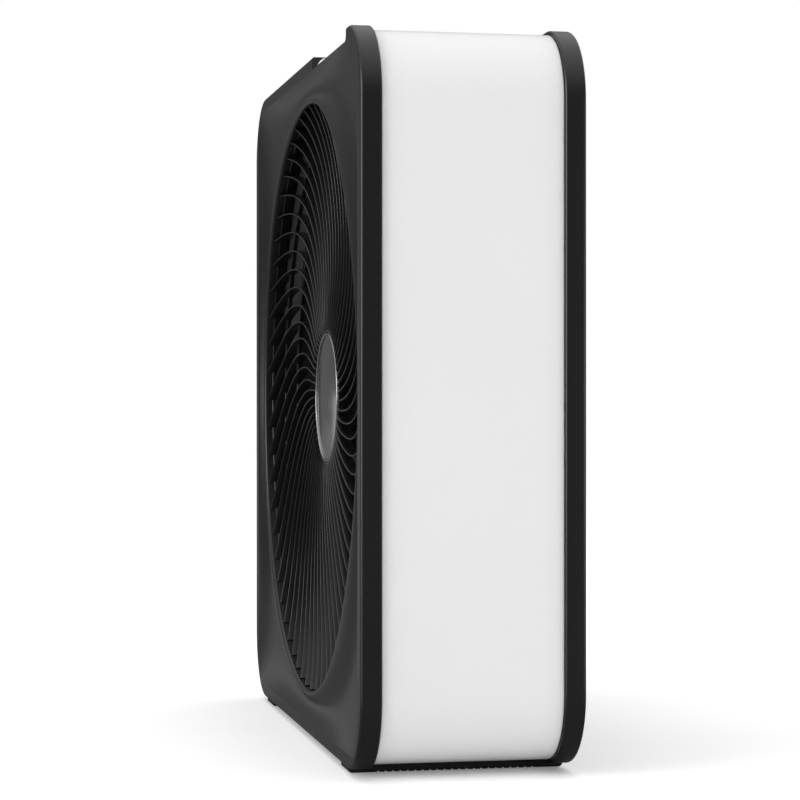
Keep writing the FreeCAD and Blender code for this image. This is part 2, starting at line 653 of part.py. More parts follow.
def rear_grille():
    back = REAR - REAR_STEP
    edge_r = REAR_OPENING_R - REAR_EDGE_W
    flange = ring(REAR_OPENING_R + 2 * WALL, edge_r, back, back + REAR_FLANGE_T)
    outer = ring(REAR_OPENING_R - SEAT_GAP, edge_r, back - REAR_BAR_DEPTH, back + REAR_FLANGE_T)
    pieces = [outer]
    step = (edge_r - REAR_HUB_R) / (REAR_RINGS + 1)
    for i in range(REAR_RINGS):
        radius = REAR_HUB_R + step * (i + 1)
        pieces.append(ring(radius + REAR_BAR / 2, radius - REAR_BAR / 2, back - REAR_BAR_DEPTH, back))
    rib = box(REAR_HUB_R - 2, edge_r + 2, back - REAR_BAR_DEPTH - REAR_RIB_DEEPER, back - REAR_RIB_SINK,
              AXIS_Z - REAR_BAR / 2, AXIS_Z + REAR_BAR / 2)
    pieces += around(rib, REAR_RIBS, 360.0 / REAR_RIBS / 2)
    pieces.append(disc(REAR_HUB_R, back - REAR_BAR_DEPTH, back))
    grille = flange.fuse(pieces)
    for x, z in screw_circle(REAR_OPENING_R + WALL):
        grille = grille.cut(disc(SCREW_R + SCREW_GAP, back - 1, back + REAR_FLANGE_T + 1, x, z))
    return grille.removeSplitter()


# ---------------------------------------------------------------- air path

def shroud():
    """Round duct that guides the air past the blade tips and flares at the rear."""
    bore = BLADE_TIP_R + TIP_GAP
    y0 = BAND_FRONT + GRILLE_RING_T
    tube_front = y0 + SHROUD_CONE_L
    tube_back = BLADE_BACK + SHROUD_OVERRUN
    flare_back = tube_back + SHROUD_FLARE_L
    inner_flange, outer_flange = OPENING_R + 0.5, OPENING_R + SHROUD_FLANGE_W
    points = [(outer_flange, y0), (inner_flange, y0), (bore, tube_front), (bore, tube_back),
              (bore + SHROUD_FLARE, flare_back), (bore + SHROUD_FLARE, flare_back + SHROUD_T),
              (bore + SHROUD_T, tube_back + SHROUD_T), (bore + SHROUD_T, tube_front + SHROUD_T),
              (inner_flange + SHROUD_T, y0 + SHROUD_T), (outer_flange, y0 + SHROUD_T)]
    duct = revolved(profile(points))
    for x, z in screw_circle(GRILLE_SCREW_R):
        duct = duct.cut(disc(SCREW_R + SCREW_GAP, y0 - 1, y0 + SHROUD_T + 1, x, z))
    return duct


def blade_section(radius, chord, pitch):
    """Closed blade outline across the radius: a shallow arc with rounded thickness."""
    along = V(0, math.sin(math.radians(pitch)), math.cos(math.radians(pitch)))
    across = V(0, math.cos(math.radians(pitch)), -math.sin(math.radians(pitch)))
    centre = V(radius, BLADE_BACK - BLADE_HUB_L / 2, AXIS_Z)
    camber = chord * BLADE_CAMBER
    nose, tail = centre - along * (chord / 2), centre + along * (chord / 2)
    front = centre + across * (camber - BLADE_T / 2)
    back = centre + across * (camber + BLADE_T / 2)
    lip_front, lip_back = across * (-BLADE_T / 4), across * (BLADE_T / 4)
    edges = [Part.Arc(nose + lip_front, front, tail + lip_front).toShape(),
             Part.LineSegment(tail + lip_front, tail + lip_back).toShape(),
             Part.Arc(tail + lip_back, back, nose + lip_back).toShape(),
             Part.LineSegment(nose + lip_back, nose + lip_front).toShape()]
    return Part.Wire(edges)


def fan_blade():
    """Moulded impeller: a cup-shaped hub and equal pitched blades."""
    y0, y1 = BLADE_BACK - BLADE_HUB_L, BLADE_BACK
    cup = disc(BLADE_HUB_R, y0, y1)
    rim = [e for e in cup.Edges if abs(e.BoundBox.YMax - y0) < 1e-6]
    cup = cup.makeFillet(2 * BLADE_HUB_WALL, rim)
    cup = cup.cut(disc(BLADE_HUB_R - BLADE_HUB_WALL, y0 + BLADE_HUB_WALL, y1 + 1))
    root, span = BLADE_HUB_R - 2, BLADE_TIP_R - BLADE_HUB_R + 3
    sections = [blade_section(root + span * share, chord, pitch) for share, chord, pitch in BLADE_SECTIONS]
    blade = Part.makeLoft(sections, True, False)
    blade = blade.cut(disc(BLADE_HUB_R - BLADE_HUB_WALL / 2, y0 - 5, y1 + 5))
    blade = blade.common(disc(BLADE_TIP_R, y0 - 5, y1 + 5))
    boss = disc(BLADE_BOSS_R, y0, y1 - 2)
    impeller = cup.fuse([boss] + around(blade, BLADE_COUNT, 90.0))
    return impeller.cut(disc(SHAFT_R, y0 - 1, y1 + 1)).removeSplitter()


def blade_nut():
    y1 = BLADE_BACK - BLADE_HUB_L
    nut = disc(NUT_R, y1 - NUT_L, y1)
    grip = disc(NUT_GRIP_R, y1 - NUT_L - 1, y1 - NUT_GRIP_R, NUT_R, AXIS_Z)
    for copy in around(grip, NUT_GRIPS):
        nut = nut.cut(copy)
    return nut.cut(disc(SHAFT_R, y1 - NUT_L + NUT_CLOSED, y1 + 1))


# ---------------------------------------------------------------- motor

def motor_front():
    return BLADE_BACK + MOTOR_GAP


def core_front():
    return motor_front() + BELL_L


def core_back():
    return core_front() + CORE_L


def motor_back():
    return core_back() + BELL_L


def bracket_front():
    return motor_back()


def shaft():
    return disc(SHAFT_R, BLADE_BACK - BLADE_HUB_L - NUT_L + NUT_CLOSED, motor_back() - 2)


def bell(outside, core_face):
    """End shield as a cup with a bearing boss, cooling slots and bolt holes."""
    y0, y1 = min(outside, core_face), max(outside, core_face)
    inward = 1 if core_face > outside else -1
    cup = disc(MOTOR_R, y0, y1)
    hollow_end = core_face + inward
    hollow_start = outside + inward * BELL_WALL
    cup = cup.cut(disc(MOTOR_R - BELL_WALL, min(hollow_start, hollow_end), max(hollow_start, hollow_end)))
    boss_end = outside + inward * BEARING_L
    cup = cup.fuse(disc(BEARING_BOSS_R, min(outside, boss_end), max(outside, boss_end)))
    cup = cup.cut(disc(BEARING_R, y0 - 1, y1 + 1))
    slot = box(BELL_SLOT_R0, BELL_SLOT_R1, min(outside - 1, hollow_start), max(outside + 1, hollow_start),
               AXIS_Z - BELL_SLOT_W / 2, AXIS_Z + BELL_SLOT_W / 2)
    for copy in around(slot, BELL_SLOTS):
        cup = cup.cut(copy)
    for x, z in screw_circle(MOTOR_BOLT_CIRCLE_R, 4, 45.0):
        cup = cup.cut(disc(MOTOR_BOLT_R + SCREW_GAP, y0 - 1, y1 + 1, x, z))
    return cup.removeSplitter()


def bearing(outside, inward):
    end = outside + inward * BEARING_L
    return ring(BEARING_R, SHAFT_R + SHAFT_CLEARANCE, min(outside, end), max(outside, end))


def stator_core():
    """Laminated ring with teeth that point at the rotor."""
    y0, y1 = core_front(), core_back()
    core = ring(MOTOR_R, MOTOR_R - YOKE_T, y0, y1)
    tooth = box(STATOR_BORE_R - 2, MOTOR_R - YOKE_T / 2, y0, y1, AXIS_Z - TOOTH_W / 2, AXIS_Z + TOOTH_W / 2)
    core = core.fuse(around(tooth, TOOTH_COUNT, 180.0 / TOOTH_COUNT))
    core = core.cut(disc(STATOR_BORE_R, y0 - 1, y1 + 1))
    for x, z in screw_circle(MOTOR_BOLT_CIRCLE_R, 4, 45.0):
        core = core.cut(disc(MOTOR_BOLT_R + SCREW_GAP, y0 - 1, y1 + 1, x, z))
    return core.removeSplitter()


def stator_windings():
    """Coils that fill the slots and turn over both ends of the core."""
    y0, y1 = core_front(), core_back()
    coils = ring(MOTOR_R - YOKE_T - COIL_GAP, STATOR_BORE_R + 2, y0 - COIL_OVERHANG, y1 + COIL_OVERHANG)
    half = TOOTH_W / 2 + COIL_GAP
    tooth = box(STATOR_BORE_R - 3, MOTOR_R, y0 - COIL_GAP, y1 + COIL_GAP, AXIS_Z - half, AXIS_Z + half)
    for copy in around(tooth, TOOTH_COUNT, 180.0 / TOOTH_COUNT):
        coils = coils.cut(copy)
    return coils


def rotor_core():
    return ring(STATOR_BORE_R - AIR_GAP, SHAFT_R, core_front(), core_back())


def thrust_washers():
    front = motor_front() + BEARING_L + WASHER_GAP
    back = motor_back() - BEARING_L - WASHER_GAP
    washers = [ring(WASHER_R, SHAFT_R, front, front + WASHER_T),
               ring(WASHER_R, SHAFT_R, back - WASHER_T, back)]
    return Part.makeCompound(washers)


def motor_bracket():
    """Pressed steel spider: a round plate and four folded arms that reach the corners."""
    y0 = bracket_front()
    y1 = y0 + BRACKET_T
    half = BRACKET_ARM_W / 2
    arm = box(BRACKET_ARM_START, BRACKET_SCREW_R + BRACKET_ARM_END, y0, y1, AXIS_Z - half, AXIS_Z + half)
    lip_end = BRACKET_SCREW_R - BRACKET_LIP_STOP
    fold = box(BRACKET_LIP_START, lip_end, y0 - BRACKET_LIP, y1, AXIS_Z + half - BRACKET_LIP_T, AXIS_Z + half)
    other = box(BRACKET_LIP_START, lip_end, y0 - BRACKET_LIP, y1, AXIS_Z - half, AXIS_Z - half + BRACKET_LIP_T)
    arms = around(arm.fuse([fold, other]), 4, 45.0)
    bracket = disc(BRACKET_PLATE_R, y0, y1).fuse(arms)
    bracket = bracket.cut(disc(BEARING_BOSS_R, y0 - 1, y1 + 1))
    for x, z in screw_circle(MOTOR_BOLT_CIRCLE_R, 4, 45.0):
        bracket = bracket.cut(disc(MOTOR_BOLT_R + SCREW_GAP, y0 - 1, y1 + 1, x, z))
    for x, z in screw_circle(BRACKET_SCREW_R, 4, 45.0):
        bracket = bracket.cut(disc(SCREW_R + SCREW_GAP, y0 - 1, y1 + 1, x, z))
    return bracket.removeSplitter()


def motor_bolts():
    """Four through bolts with heads at the front and nuts behind the bracket."""
    front, back = motor_front(), bracket_front() + BRACKET_T
    bolts = []
    for x, z in screw_circle(MOTOR_BOLT_CIRCLE_R, 4, 45.0):
        shank = disc(MOTOR_BOLT_R, front, back + MOTOR_BOLT_TAIL, x, z)
        head = disc(SCREW_HEAD_R, front - SCREW_HEAD_H, front, x, z)
        nut = disc(SCREW_HEAD_R, back, back + MOTOR_NUT_H, x, z)
        bolts.append(shank.fuse([head, nut]).removeSplitter())
    return Part.makeCompound(bolts)


# ---------------------------------------------------------------- controls and wiring

def spindle_top():
    return TOP - RECESS_DEPTH - RECESS_SINK + KNOB_GAP + KNOB_H - KNOB_ROOF


def control_knob():
    """Low round knob with a raised finger bar and a fluted side."""
    z0 = TOP - RECESS_DEPTH - RECESS_SINK + KNOB_GAP
    knob = Part.makeCylinder(KNOB_R, KNOB_H * KNOB_SKIRT, V(KNOB_X, KNOB_Y, z0), Z_AXIS)
    reach, half = KNOB_R - KNOB_BAR_INSET, KNOB_BAR_W / 2
    bar = box(KNOB_X - half, KNOB_X + half, KNOB_Y - reach, KNOB_Y + reach, z0, z0 + KNOB_H)
    knob = knob.fuse(bar)
    flute_foot = V(KNOB_X + KNOB_R + KNOB_FLUTE_OUT, KNOB_Y, z0 - 1)
    flute = Part.makeCylinder(KNOB_FLUTE_R, KNOB_H + 2, flute_foot, Z_AXIS)
    for i in range(KNOB_FLUTES):
        copy = flute.copy()
        copy.rotate(V(KNOB_X, KNOB_Y, 0), Z_AXIS, 360.0 * (i + 0.5) / KNOB_FLUTES)
        knob = knob.cut(copy)
    socket = Part.makeCylinder(SPINDLE_R, KNOB_H - KNOB_ROOF, V(KNOB_X, KNOB_Y, z0), Z_AXIS)
    return knob.cut(socket).removeSplitter()


def switch_spindle():
    z0 = deck_under() - SWITCH_H / 2
    return Part.makeCylinder(SPINDLE_R, spindle_top() - z0, V(KNOB_X, KNOB_Y, z0), Z_AXIS)


def speed_switch():
    half = SWITCH_W / 2
    z1 = deck_under()
    body = box(KNOB_X - half, KNOB_X + half, KNOB_Y - half, KNOB_Y + half, z1 - SWITCH_H, z1)
    upright = [e for e in body.Edges if abs(e.BoundBox.ZLength - SWITCH_H) < 1e-3]
    body = body.makeFillet(SWITCH_CORNER_R, upright)
    bore = Part.makeCylinder(SPINDLE_R + SHAFT_CLEARANCE, SWITCH_H / 2 + 1,
                             V(KNOB_X, KNOB_Y, z1 - SWITCH_H / 2 - SEAT_GAP), Z_AXIS)
    body = body.cut(bore)
    wide, thick, low = SWITCH_TAB_W / 2, SWITCH_TAB_T / 2, z1 - SWITCH_H
    tabs = [box(KNOB_X + dx - wide, KNOB_X + dx + wide, KNOB_Y - thick, KNOB_Y + thick, low - SWITCH_TAB_L, low)
            for dx in SWITCH_TABS]
    return body.fuse(tabs).removeSplitter()


def beside_switch():
    """Left end and floor height of the parts that stand next to the switch."""
    return KNOB_X + SWITCH_W / 2 + PART_GAP, deck_under() - BOX_DROP + BOX_WALL


def capacitor():
    x0, z0 = beside_switch()
    length, depth, height = CAPACITOR_SIZE
    y1 = KNOB_Y - PART_OFFSET
    block = box(x0, x0 + length, y1 - depth, y1, z0, z0 + height)
    upright = [e for e in block.Edges if abs(e.BoundBox.ZLength - height) < 1e-3]
    return block.makeFillet(CAPACITOR_CORNER_R, upright)


def terminal_block():
    x0, z0 = beside_switch()
    length, depth, height = TERMINAL_SIZE
    y0 = KNOB_Y + PART_OFFSET
    block = box(x0, x0 + length, y0, y0 + depth, z0, z0 + height)
    start = x0 + (length - TERMINAL_PITCH * (TERMINAL_WELLS - 1)) / 2
    for i in range(TERMINAL_WELLS):
        foot = V(start + TERMINAL_PITCH * i, y0 + depth / 2, z0 + height - TERMINAL_WELL_DEPTH)
        block = block.cut(Part.makeCylinder(TERMINAL_WELL_R, TERMINAL_WELL_DEPTH + 1, foot, Z_AXIS))
    return block


def routed_lead(points, bend):
    """Round lead along straight runs joined by tangent arcs."""
    path = []
    start = points[0]
    for i in range(1, len(points) - 1):
        corner = points[i]
        back = (points[i - 1] - corner).normalize()
        ahead = (points[i + 1] - corner).normalize()
        half = back.getAngle(ahead) / 2
        reach = bend / math.tan(half)
        a, b = corner + back * reach, corner + ahead * reach
        middle = (back + ahead).normalize()
        mid = corner + middle * (bend / math.sin(half) - bend)
        path.append(Part.LineSegment(start, a).toShape())
        path.append(Part.Arc(a, mid, b).toShape())
        start = b
    path.append(Part.LineSegment(start, points[-1]).toShape())
    wire = Part.Wire(path)
    heading = (points[1] - points[0]).normalize()
    section = Part.Wire([Part.Circle(points[0], heading, LEAD_R).toShape()])
    return wire.makePipeShell([section], True, False)


def supply_lead():
    """Lead from the cord inlet up the side of the housing to the control box."""
    x, z = lead_exit_supply()
    side = WIDTH / 2 - BAND_INSET - WALL - LEAD_WALL_GAP
    y = KNOB_Y + BOX_HALF_DEPTH + LEAD_STAND_OFF
    points = [V(INLET_X, BAND_REAR - LEAD_SETBACK, INLET_Z), V(INLET_X, y, INLET_Z),
              V(side, y, INLET_Z + LEAD_RISE), V(side, y, z - LEAD_RISE), V(x, y, z),
              V(x, KNOB_Y + BOX_HALF_DEPTH - BOX_WALL, z)]
    return routed_lead(points, LEAD_BEND)


def motor_lead():
    """Lead from the motor's rear end shield out to the control box."""
    x, z = lead_exit_motor()
    y = core_back() + BELL_L / 2
    start_x, start_z = polar(MOTOR_R + LEAD_MOTOR_GAP, LEAD_MOTOR_DEG)
    out_x, out_z = polar(MOTOR_R + LEAD_MOTOR_OUT, LEAD_MOTOR_DEG)
    points = [V(start_x, y, start_z), V(out_x, y, out_z), V(x, y, z),
              V(x, KNOB_Y + BOX_HALF_DEPTH - BOX_WALL, z)]
    return routed_lead(points, LEAD_BEND)


def cord_gland():
    """Bush that lines the cord inlet in the rear panel."""
    y1 = REAR - REAR_STEP
    bush = disc(INLET_R, BAND_REAR, y1, INLET_X, INLET_Z)
    flange = disc(INLET_R + GLAND_FLANGE_W, y1, y1 + GLAND_FLANGE_T, INLET_X, INLET_Z)
    return bush.fuse(flange).cut(disc(INLET_BORE_R, BAND_REAR - 1, REAR + 1, INLET_X, INLET_Z)).removeSplitter()


# ---------------------------------------------------------------- feet and fasteners

def peg_places():
    return [-PEG_SPACING, 0.0, PEG_SPACING]


def foot_rail(x):
    """Rail along the depth, thicker between the bezels, with pegs into the band."""
    y0, y1 = FRONT + FOOT_SETBACK, REAR - FOOT_SETBACK
    rail = box(x - FOOT_W / 2, x + FOOT_W / 2, y0, y1, 0, FOOT_DROP)
    low = [e for e in rail.Edges if e.BoundBox.ZMax < 1e-6]
    rail = rail.makeChamfer(FOOT_DROP * FOOT_CHAMFER, low)
    pad_low = FOOT_DROP * FOOT_PAD_START
    pad = box(x - FOOT_W / 2, x + FOOT_W / 2, BAND_FRONT, BAND_REAR, pad_low, FOOT_DROP + BAND_INSET)
    pegs = [Part.makeCylinder(PEG_R, PEG_L, V(x, y, FOOT_DROP + BAND_INSET - 1), Z_AXIS) for y in peg_places()]
    return rail.fuse([pad] + pegs).removeSplitter()


def housing_screws():
    y = BOSS_MEET + BOSS_FLOOR
    return Part.makeCompound([pan_screw(x, y, z, HOUSING_SCREW_L, -1) for x, z in corner_points()])


def grille_screws():
    y = BAND_FRONT + GRILLE_RING_T + SHROUD_T
    places = screw_circle(GRILLE_SCREW_R)
    return Part.makeCompound([pan_screw(x, y, z, GRILLE_SCREW_L, -1) for x, z in places])


def rear_grille_screws():
    y = REAR - REAR_STEP + REAR_FLANGE_T
    places = screw_circle(REAR_OPENING_R + WALL)
    return Part.makeCompound([pan_screw(x, y, z, REAR_SCREW_L, -1) for x, z in places])


def bracket_screws():
    y = bracket_front()
    places = screw_circle(BRACKET_SCREW_R, 4, 45.0)
    return Part.makeCompound([pan_screw(x, y, z, BRACKET_SCREW_L, 1) for x, z in places])


def control_box_screws():
    """Four screws from below, through the box and up into the deck's posts."""
    z0 = deck_under() - BOX_POST_H - 2 * DECK_T - 1
    screws = []
    for x, y in box_screw_places():
        head = Part.makeCylinder(SCREW_HEAD_R, SCREW_HEAD_H, V(x, y, z0 - SCREW_HEAD_H), Z_AXIS)
        shank = Part.makeCylinder(SCREW_R, BOX_SCREW_L, V(x, y, z0), Z_AXIS)
        screws.append(head.fuse(shank).removeSplitter())
    return Part.makeCompound(screws)


def build():
    return {
        "front_bezel": front_bezel(),
        "rear_bezel": rear_bezel(),
        "side_band": side_band(),
        "front_grille": front_grille(),
        "rear_grille": rear_grille(),
        "hub_cap": hub_cap(),
        "hub_trim_ring": hub_trim_ring(),
        "shroud": shroud(),
        "fan_blade": fan_blade(),
        "blade_nut": blade_nut(),
        "motor_shaft": shaft(),
        "rotor_core": rotor_core(),
        "thrust_washers": thrust_washers(),
        "motor_front_bell": bell(motor_front(), core_front()),
        "motor_rear_bell": bell(motor_back(), core_back()),
        "front_bearing": bearing(motor_front(), 1),
        "rear_bearing": bearing(motor_back(), -1),
        "stator_core": stator_core(),
        "stator_windings": stator_windings(),
        "motor_bracket": motor_bracket(),
        "motor_bolts": motor_bolts(),
        "control_deck": control_deck(),
        "control_box": control_box(),
        "control_knob": control_knob(),
        "switch_spindle": switch_spindle(),
        "speed_switch": speed_switch(),
        "capacitor": capacitor(),
        "terminal_block": terminal_block(),
        "supply_lead": supply_lead(),
        "motor_lead": motor_lead(),
        "cord_gland": cord_gland(),
        "foot_rail_left": foot_rail(-FOOT_X),
        "foot_rail_right": foot_rail(FOOT_X),
        "housing_screws": housing_screws(),
        "grille_screws": grille_screws(),
        "rear_grille_screws": rear_grille_screws(),
        "bracket_screws": bracket_screws(),
        "control_box_screws": control_box_screws(),
    }


os.makedirs("parts", exist_ok=True)
for node, shape in build().items():
    shape.exportStep("parts/" + node + ".step")
    print(node, len(shape.Solids), "solids", round(shape.Volume / 1000.0, 2), "cm3", shape.isValid())
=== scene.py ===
import json
import math

import bmesh
import bpy
import numpy as np
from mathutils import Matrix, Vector

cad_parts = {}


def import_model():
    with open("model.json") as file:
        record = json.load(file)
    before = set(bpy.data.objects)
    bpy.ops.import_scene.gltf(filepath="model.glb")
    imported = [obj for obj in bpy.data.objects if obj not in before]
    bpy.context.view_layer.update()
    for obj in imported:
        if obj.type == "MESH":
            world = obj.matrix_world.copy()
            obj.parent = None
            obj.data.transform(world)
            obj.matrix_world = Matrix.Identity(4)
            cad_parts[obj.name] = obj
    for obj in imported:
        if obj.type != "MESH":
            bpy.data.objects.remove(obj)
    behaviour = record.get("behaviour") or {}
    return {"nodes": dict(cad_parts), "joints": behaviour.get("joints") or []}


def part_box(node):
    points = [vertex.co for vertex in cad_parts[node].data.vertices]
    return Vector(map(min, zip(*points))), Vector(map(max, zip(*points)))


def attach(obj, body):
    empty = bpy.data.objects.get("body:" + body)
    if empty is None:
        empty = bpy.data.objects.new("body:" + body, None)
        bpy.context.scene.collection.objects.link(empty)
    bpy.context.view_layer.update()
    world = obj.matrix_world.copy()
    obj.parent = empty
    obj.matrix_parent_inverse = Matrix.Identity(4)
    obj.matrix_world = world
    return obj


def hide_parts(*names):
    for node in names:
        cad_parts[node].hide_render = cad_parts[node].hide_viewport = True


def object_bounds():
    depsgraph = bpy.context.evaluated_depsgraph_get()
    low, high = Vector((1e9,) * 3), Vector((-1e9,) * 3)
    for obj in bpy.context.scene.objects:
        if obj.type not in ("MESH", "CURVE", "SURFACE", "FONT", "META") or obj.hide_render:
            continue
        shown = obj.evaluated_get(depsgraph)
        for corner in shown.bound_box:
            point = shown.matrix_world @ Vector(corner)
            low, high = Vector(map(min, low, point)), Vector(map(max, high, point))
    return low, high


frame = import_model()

cad_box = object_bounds()
MM = 0.001

# ------------------------------------------------------------------ places taken from the frame
BEZEL_LOW, BEZEL_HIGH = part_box("front_bezel")
REAR_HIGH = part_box("rear_bezel")[1]
BAND_LOW, BAND_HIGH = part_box("side_band")
SPIN = next(j for j in frame["joints"] if j["name"] == "blade_spin")
AXIS_Z = Vector(SPIN["pos_m"]).z / MM                 # height of the fan's axis, millimetres
HALF = (BEZEL_HIGH.x - BEZEL_LOW.x) / 2 / MM          # bezel half width
TOP_Z = BEZEL_HIGH.z / MM
FRONT_Y = BEZEL_LOW.y / MM
REAR_Y = REAR_HIGH.y / MM
BAND_HALF = (BAND_HIGH.x - BAND_LOW.x) / 2 / MM
BAND_TOP = BAND_HIGH.z / MM
BAND_FRONT_Y = BAND_LOW.y / MM
BAND_REAR_Y = BAND_HIGH.y / MM
BEZEL_T = BAND_FRONT_Y - FRONT_Y

# ------------------------------------------------------------------ shape values, millimetres
# Both bezels
CORNER_R = 54.0
EDGE_R = 2.6                 # rounding of the outer edge
RIM_LAND = 0.6               # flat rim starts this far inside the rounding
RIM_MARGIN = 0.2             # least width of flat rim in the corners
RIM_TOP = 10.6               # rim width along the top and bottom
RIM_SIDE = 12.5              # rim width at the sides, where the crease is soft
CREASE_R = 24.0              # corner radius of the rim's inner edge
BACK_EDGE = 0.7              # chamfer where a bezel meets the band
BACK_LAP = 6.0               # how far a bezel's back reaches in from its outline

# Lip and dish of the front bezel; each CORNER value adds to its base value toward the diagonals
OPENING_R = 229.0
LIP_DROP = 3.1               # lip crest, behind the front plane
LIP_CORNER_RISE = 0.9        # how much nearer the front plane the crest is on the diagonals
LIP_ROUND = 2.5
DISH_DEPTH = 6.2             # deepest line of the dish, behind the front plane
DISH_CORNER_DEPTH = 3.6
FLANK_W = 8.5                # opening edge to that line
FLANK_CORNER_W = 28.0
FLANK_SPREAD = 1.3           # how closely the flank's extra width keeps to the diagonals
DISH_STEEP = 1.5             # how late the dish rises to the rim
DISH_CORNER_STEEP = 0.3
SIDE_START = 0.70            # cosine of the angle at which the soft side crease starts
SIDE_BLEND = 0.16            # rise in the cosine over which it comes in
SIDE_SOFT = 0.85             # how soft it gets

# Notch in the top rim, deck behind it, and the white cheek at its left end
NOTCH_LEFT = 50.0
NOTCH_RIGHT = 202.0
NOTCH_DEPTH = 10.0
NOTCH_DRAFT = 3.0            # lean of the left wall
NOTCH_FLOOR_R = 5.0          # rounding of the floor's right end
NOTCH_TOP_R = 3.0            # rounding where the right wall meets the top
SCOOP_R = 14.0
DECK_SINK = 0.8              # deck floor, below the notch floor
DECK_BACK = 94.0
DECK_T = 2.5
CHEEK_T = 5.0
CHEEK_FRONT = 4.5            # front edge, behind the front plane
CHEEK_BACK_LAP = 1.0         # how far it reaches into the band
CHEEK_R = 6.6
CHEEK_EDGE = 0.6
CHEEK_DROP = 1.0             # its top, below the top of the bezel
DECK_FLOOR = TOP_Z - NOTCH_DEPTH - DECK_SINK

# Band
BAND_WALL = 3.0
BAND_EDGE_R = 1.2

# Rear bezel
REAR_OPENING_R = 222.0
REAR_STEP = 5.0              # panel, in from the rear rim
REAR_PANEL_Y = REAR_Y - REAR_STEP
REAR_HOLE_EDGE_R = 1.5
REAR_SEAT_W = 14.0           # opening edge to the end of the grille's seat
REAR_CREASE_W = 2.0          # width of the fillet between the panel and the rim
REAR_FOOT_R = 1.6
REAR_RIM_R = 1.2
INLET_HOLE_R = 7.0
CORNER_SCREW_INSET = 38.0
CORNER_SCREW_HOLE_R = 4.6

# Front grille
HUB_R = 53.3
HUB_DROP = 19.7              # hub rim, behind the front plane
HUB_DEPTH = 9.8
HUB_SEAT = 4.0               # floor under the cap, behind the hub rim
HUB_WALL = 2.6
HUB_EDGE_R = 1.3
HUB_INNER_EDGE_R = 0.6
HUB_BACK_EDGE = 1.5
VANES = 59
VANE_T = 1.1                 # at the front edge
VANE_ROOT_T = 1.4            # at the back edge
VANE_DEPTH = 9.0
VANE_NOSE = (0.5, 1.05, 1.57, 2.1, 2.64)   # angles round the front edge, radians
VANE_HUB_LAP = 1.0
VANE_TIP_GAP = 0.35
VANE_DIP = 1.7               # how far a vane's root sinks into the hub
VANE_DIP_L = 4.0             # and over what length
BOWL_RADII = (50.7, 86.3, 121.9, 157.5, 193.1, 214.0, 228.7)
BOWL_DROPS = (18.7, 18.2, 18.2, 16.9, 13.4, 9.6, 5.2)     # vane edge, behind the front plane
BOWL = np.polyfit(BOWL_RADII, BOWL_DROPS, 5)
SWEEP = (-2.5, 0.0621, 0.000733, 62.6)     # degrees, degrees per mm and per mm squared, start radius
STAYS = (162.0, 201.0)
STAY_W = 2.4
STAY_DEPTH = 4.0
STAY_EDGE_R = 0.7
STAY_SINK = 2.2              # stay's middle, in front of the vanes' back edge
RING_T = 3.0
RING_FLANGE = 19.0
RING_GAP = 0.3               # collar, inside the opening
RING_EDGE = 0.5
COLLAR_T = 1.2
COLLAR_DROP = 10.0           # its front edge, behind the front plane
COLLAR_EDGE = 0.4

# Hub cap and trim ring
TRIM_W = 1.6
TRIM_DROP = 0.4              # start of the trim's round edge, behind the hub rim
CAP_BACK = 3.8               # back of the cap, behind the hub rim
CAP_BACK_EDGE = (0.3, 0.4)   # chamfer, across and along
CAP_SIDE = 1.4               # front end of the cap's straight side
CAP_PROUD = 1.1              # middle of the cap, in front of the hub rim
CAP_DOME = 1.9
CAP_EDGE_DROP = 0.5
CAP_EDGE_W = 1.2
CAP_RINGS = 22

# Rear grille
REAR_HUB_R = 48.0
REAR_HUB_EDGE_R = 2.0
REAR_HUB_BACK_EDGE = 1.0
REAR_HUB_DISH = ((8.0, 0.0), (9.5, 1.0), (11.0, 1.0))     # in from the hub's edge, and sink
REAR_GRILLE_INSET = 4.0      # outermost edge, inside the opening
REAR_RINGS = 11
REAR_BAR_W = 2.6
REAR_RING_DEPTH = 5.0
REAR_RING_EDGE_R = 1.2
REAR_RIBS = 12
REAR_RIB_DEPTH = 6.0
REAR_RIB_SINK = 4.0          # rib's middle, in from the panel
REAR_RIB_EDGE_R = 1.0
REAR_RIB_LAPS = (2.0, 1.0)   # into the hub, and into the flange
REAR_FLANGE_W = 6.0
REAR_FLANGE_T = 2.0
REAR_FLANGE_EDGE = 0.8
REAR_FLANGE_INNER_EDGE = 1.0
REAR_FLANGE_GAP = 0.3        # its skirt, inside the opening
SEAT_LIFT = 0.02             # keeps a face just clear of the one it would lie in

# Rear grille screws
REAR_SCREWS = 8
REAR_SCREW_W = 3.0           # screw circle, outside the opening
SCREW_HEAD_R = 3.6
SCREW_HEAD_H = 2.4
SCREW_SIDE = 0.45            # straight share of the head's height
SCREW_DOME = 1.2             # angle of the dome, radians
SCREW_CROSS = ((0.60, 0.42, 0.0), (0.54, 0.42, 1.1), (0.05, 1.0, 1.3))   # arm, valley, sink
SHANK_R = 1.7
SHANK_L = 9.0
SHANK_LAP = 0.2              # into the head

# Knob and speed marks
FLUTES = 24
FLUTE_DEPTH = 0.75
SKIRT_SHARE = 0.6            # share of the knob's height
GRIP_INSET = 1.5
GRIP_SIDE = 0.95             # how round the ends of the grip are
POINTER_W = 0.9
POINTER_L = 6.0
POINTER_EDGE_R = 0.44
POINTER_AT = 0.62            # share of the grip's reach
POINTER_T = 0.5
DOT_GAP = 4.5
DOT_R = 0.8
DOT_GROWTH = 0.35
DOT_STEP_DEG = 45.0
DOT_SINK = 0.2
DOT_PROUD = 0.06

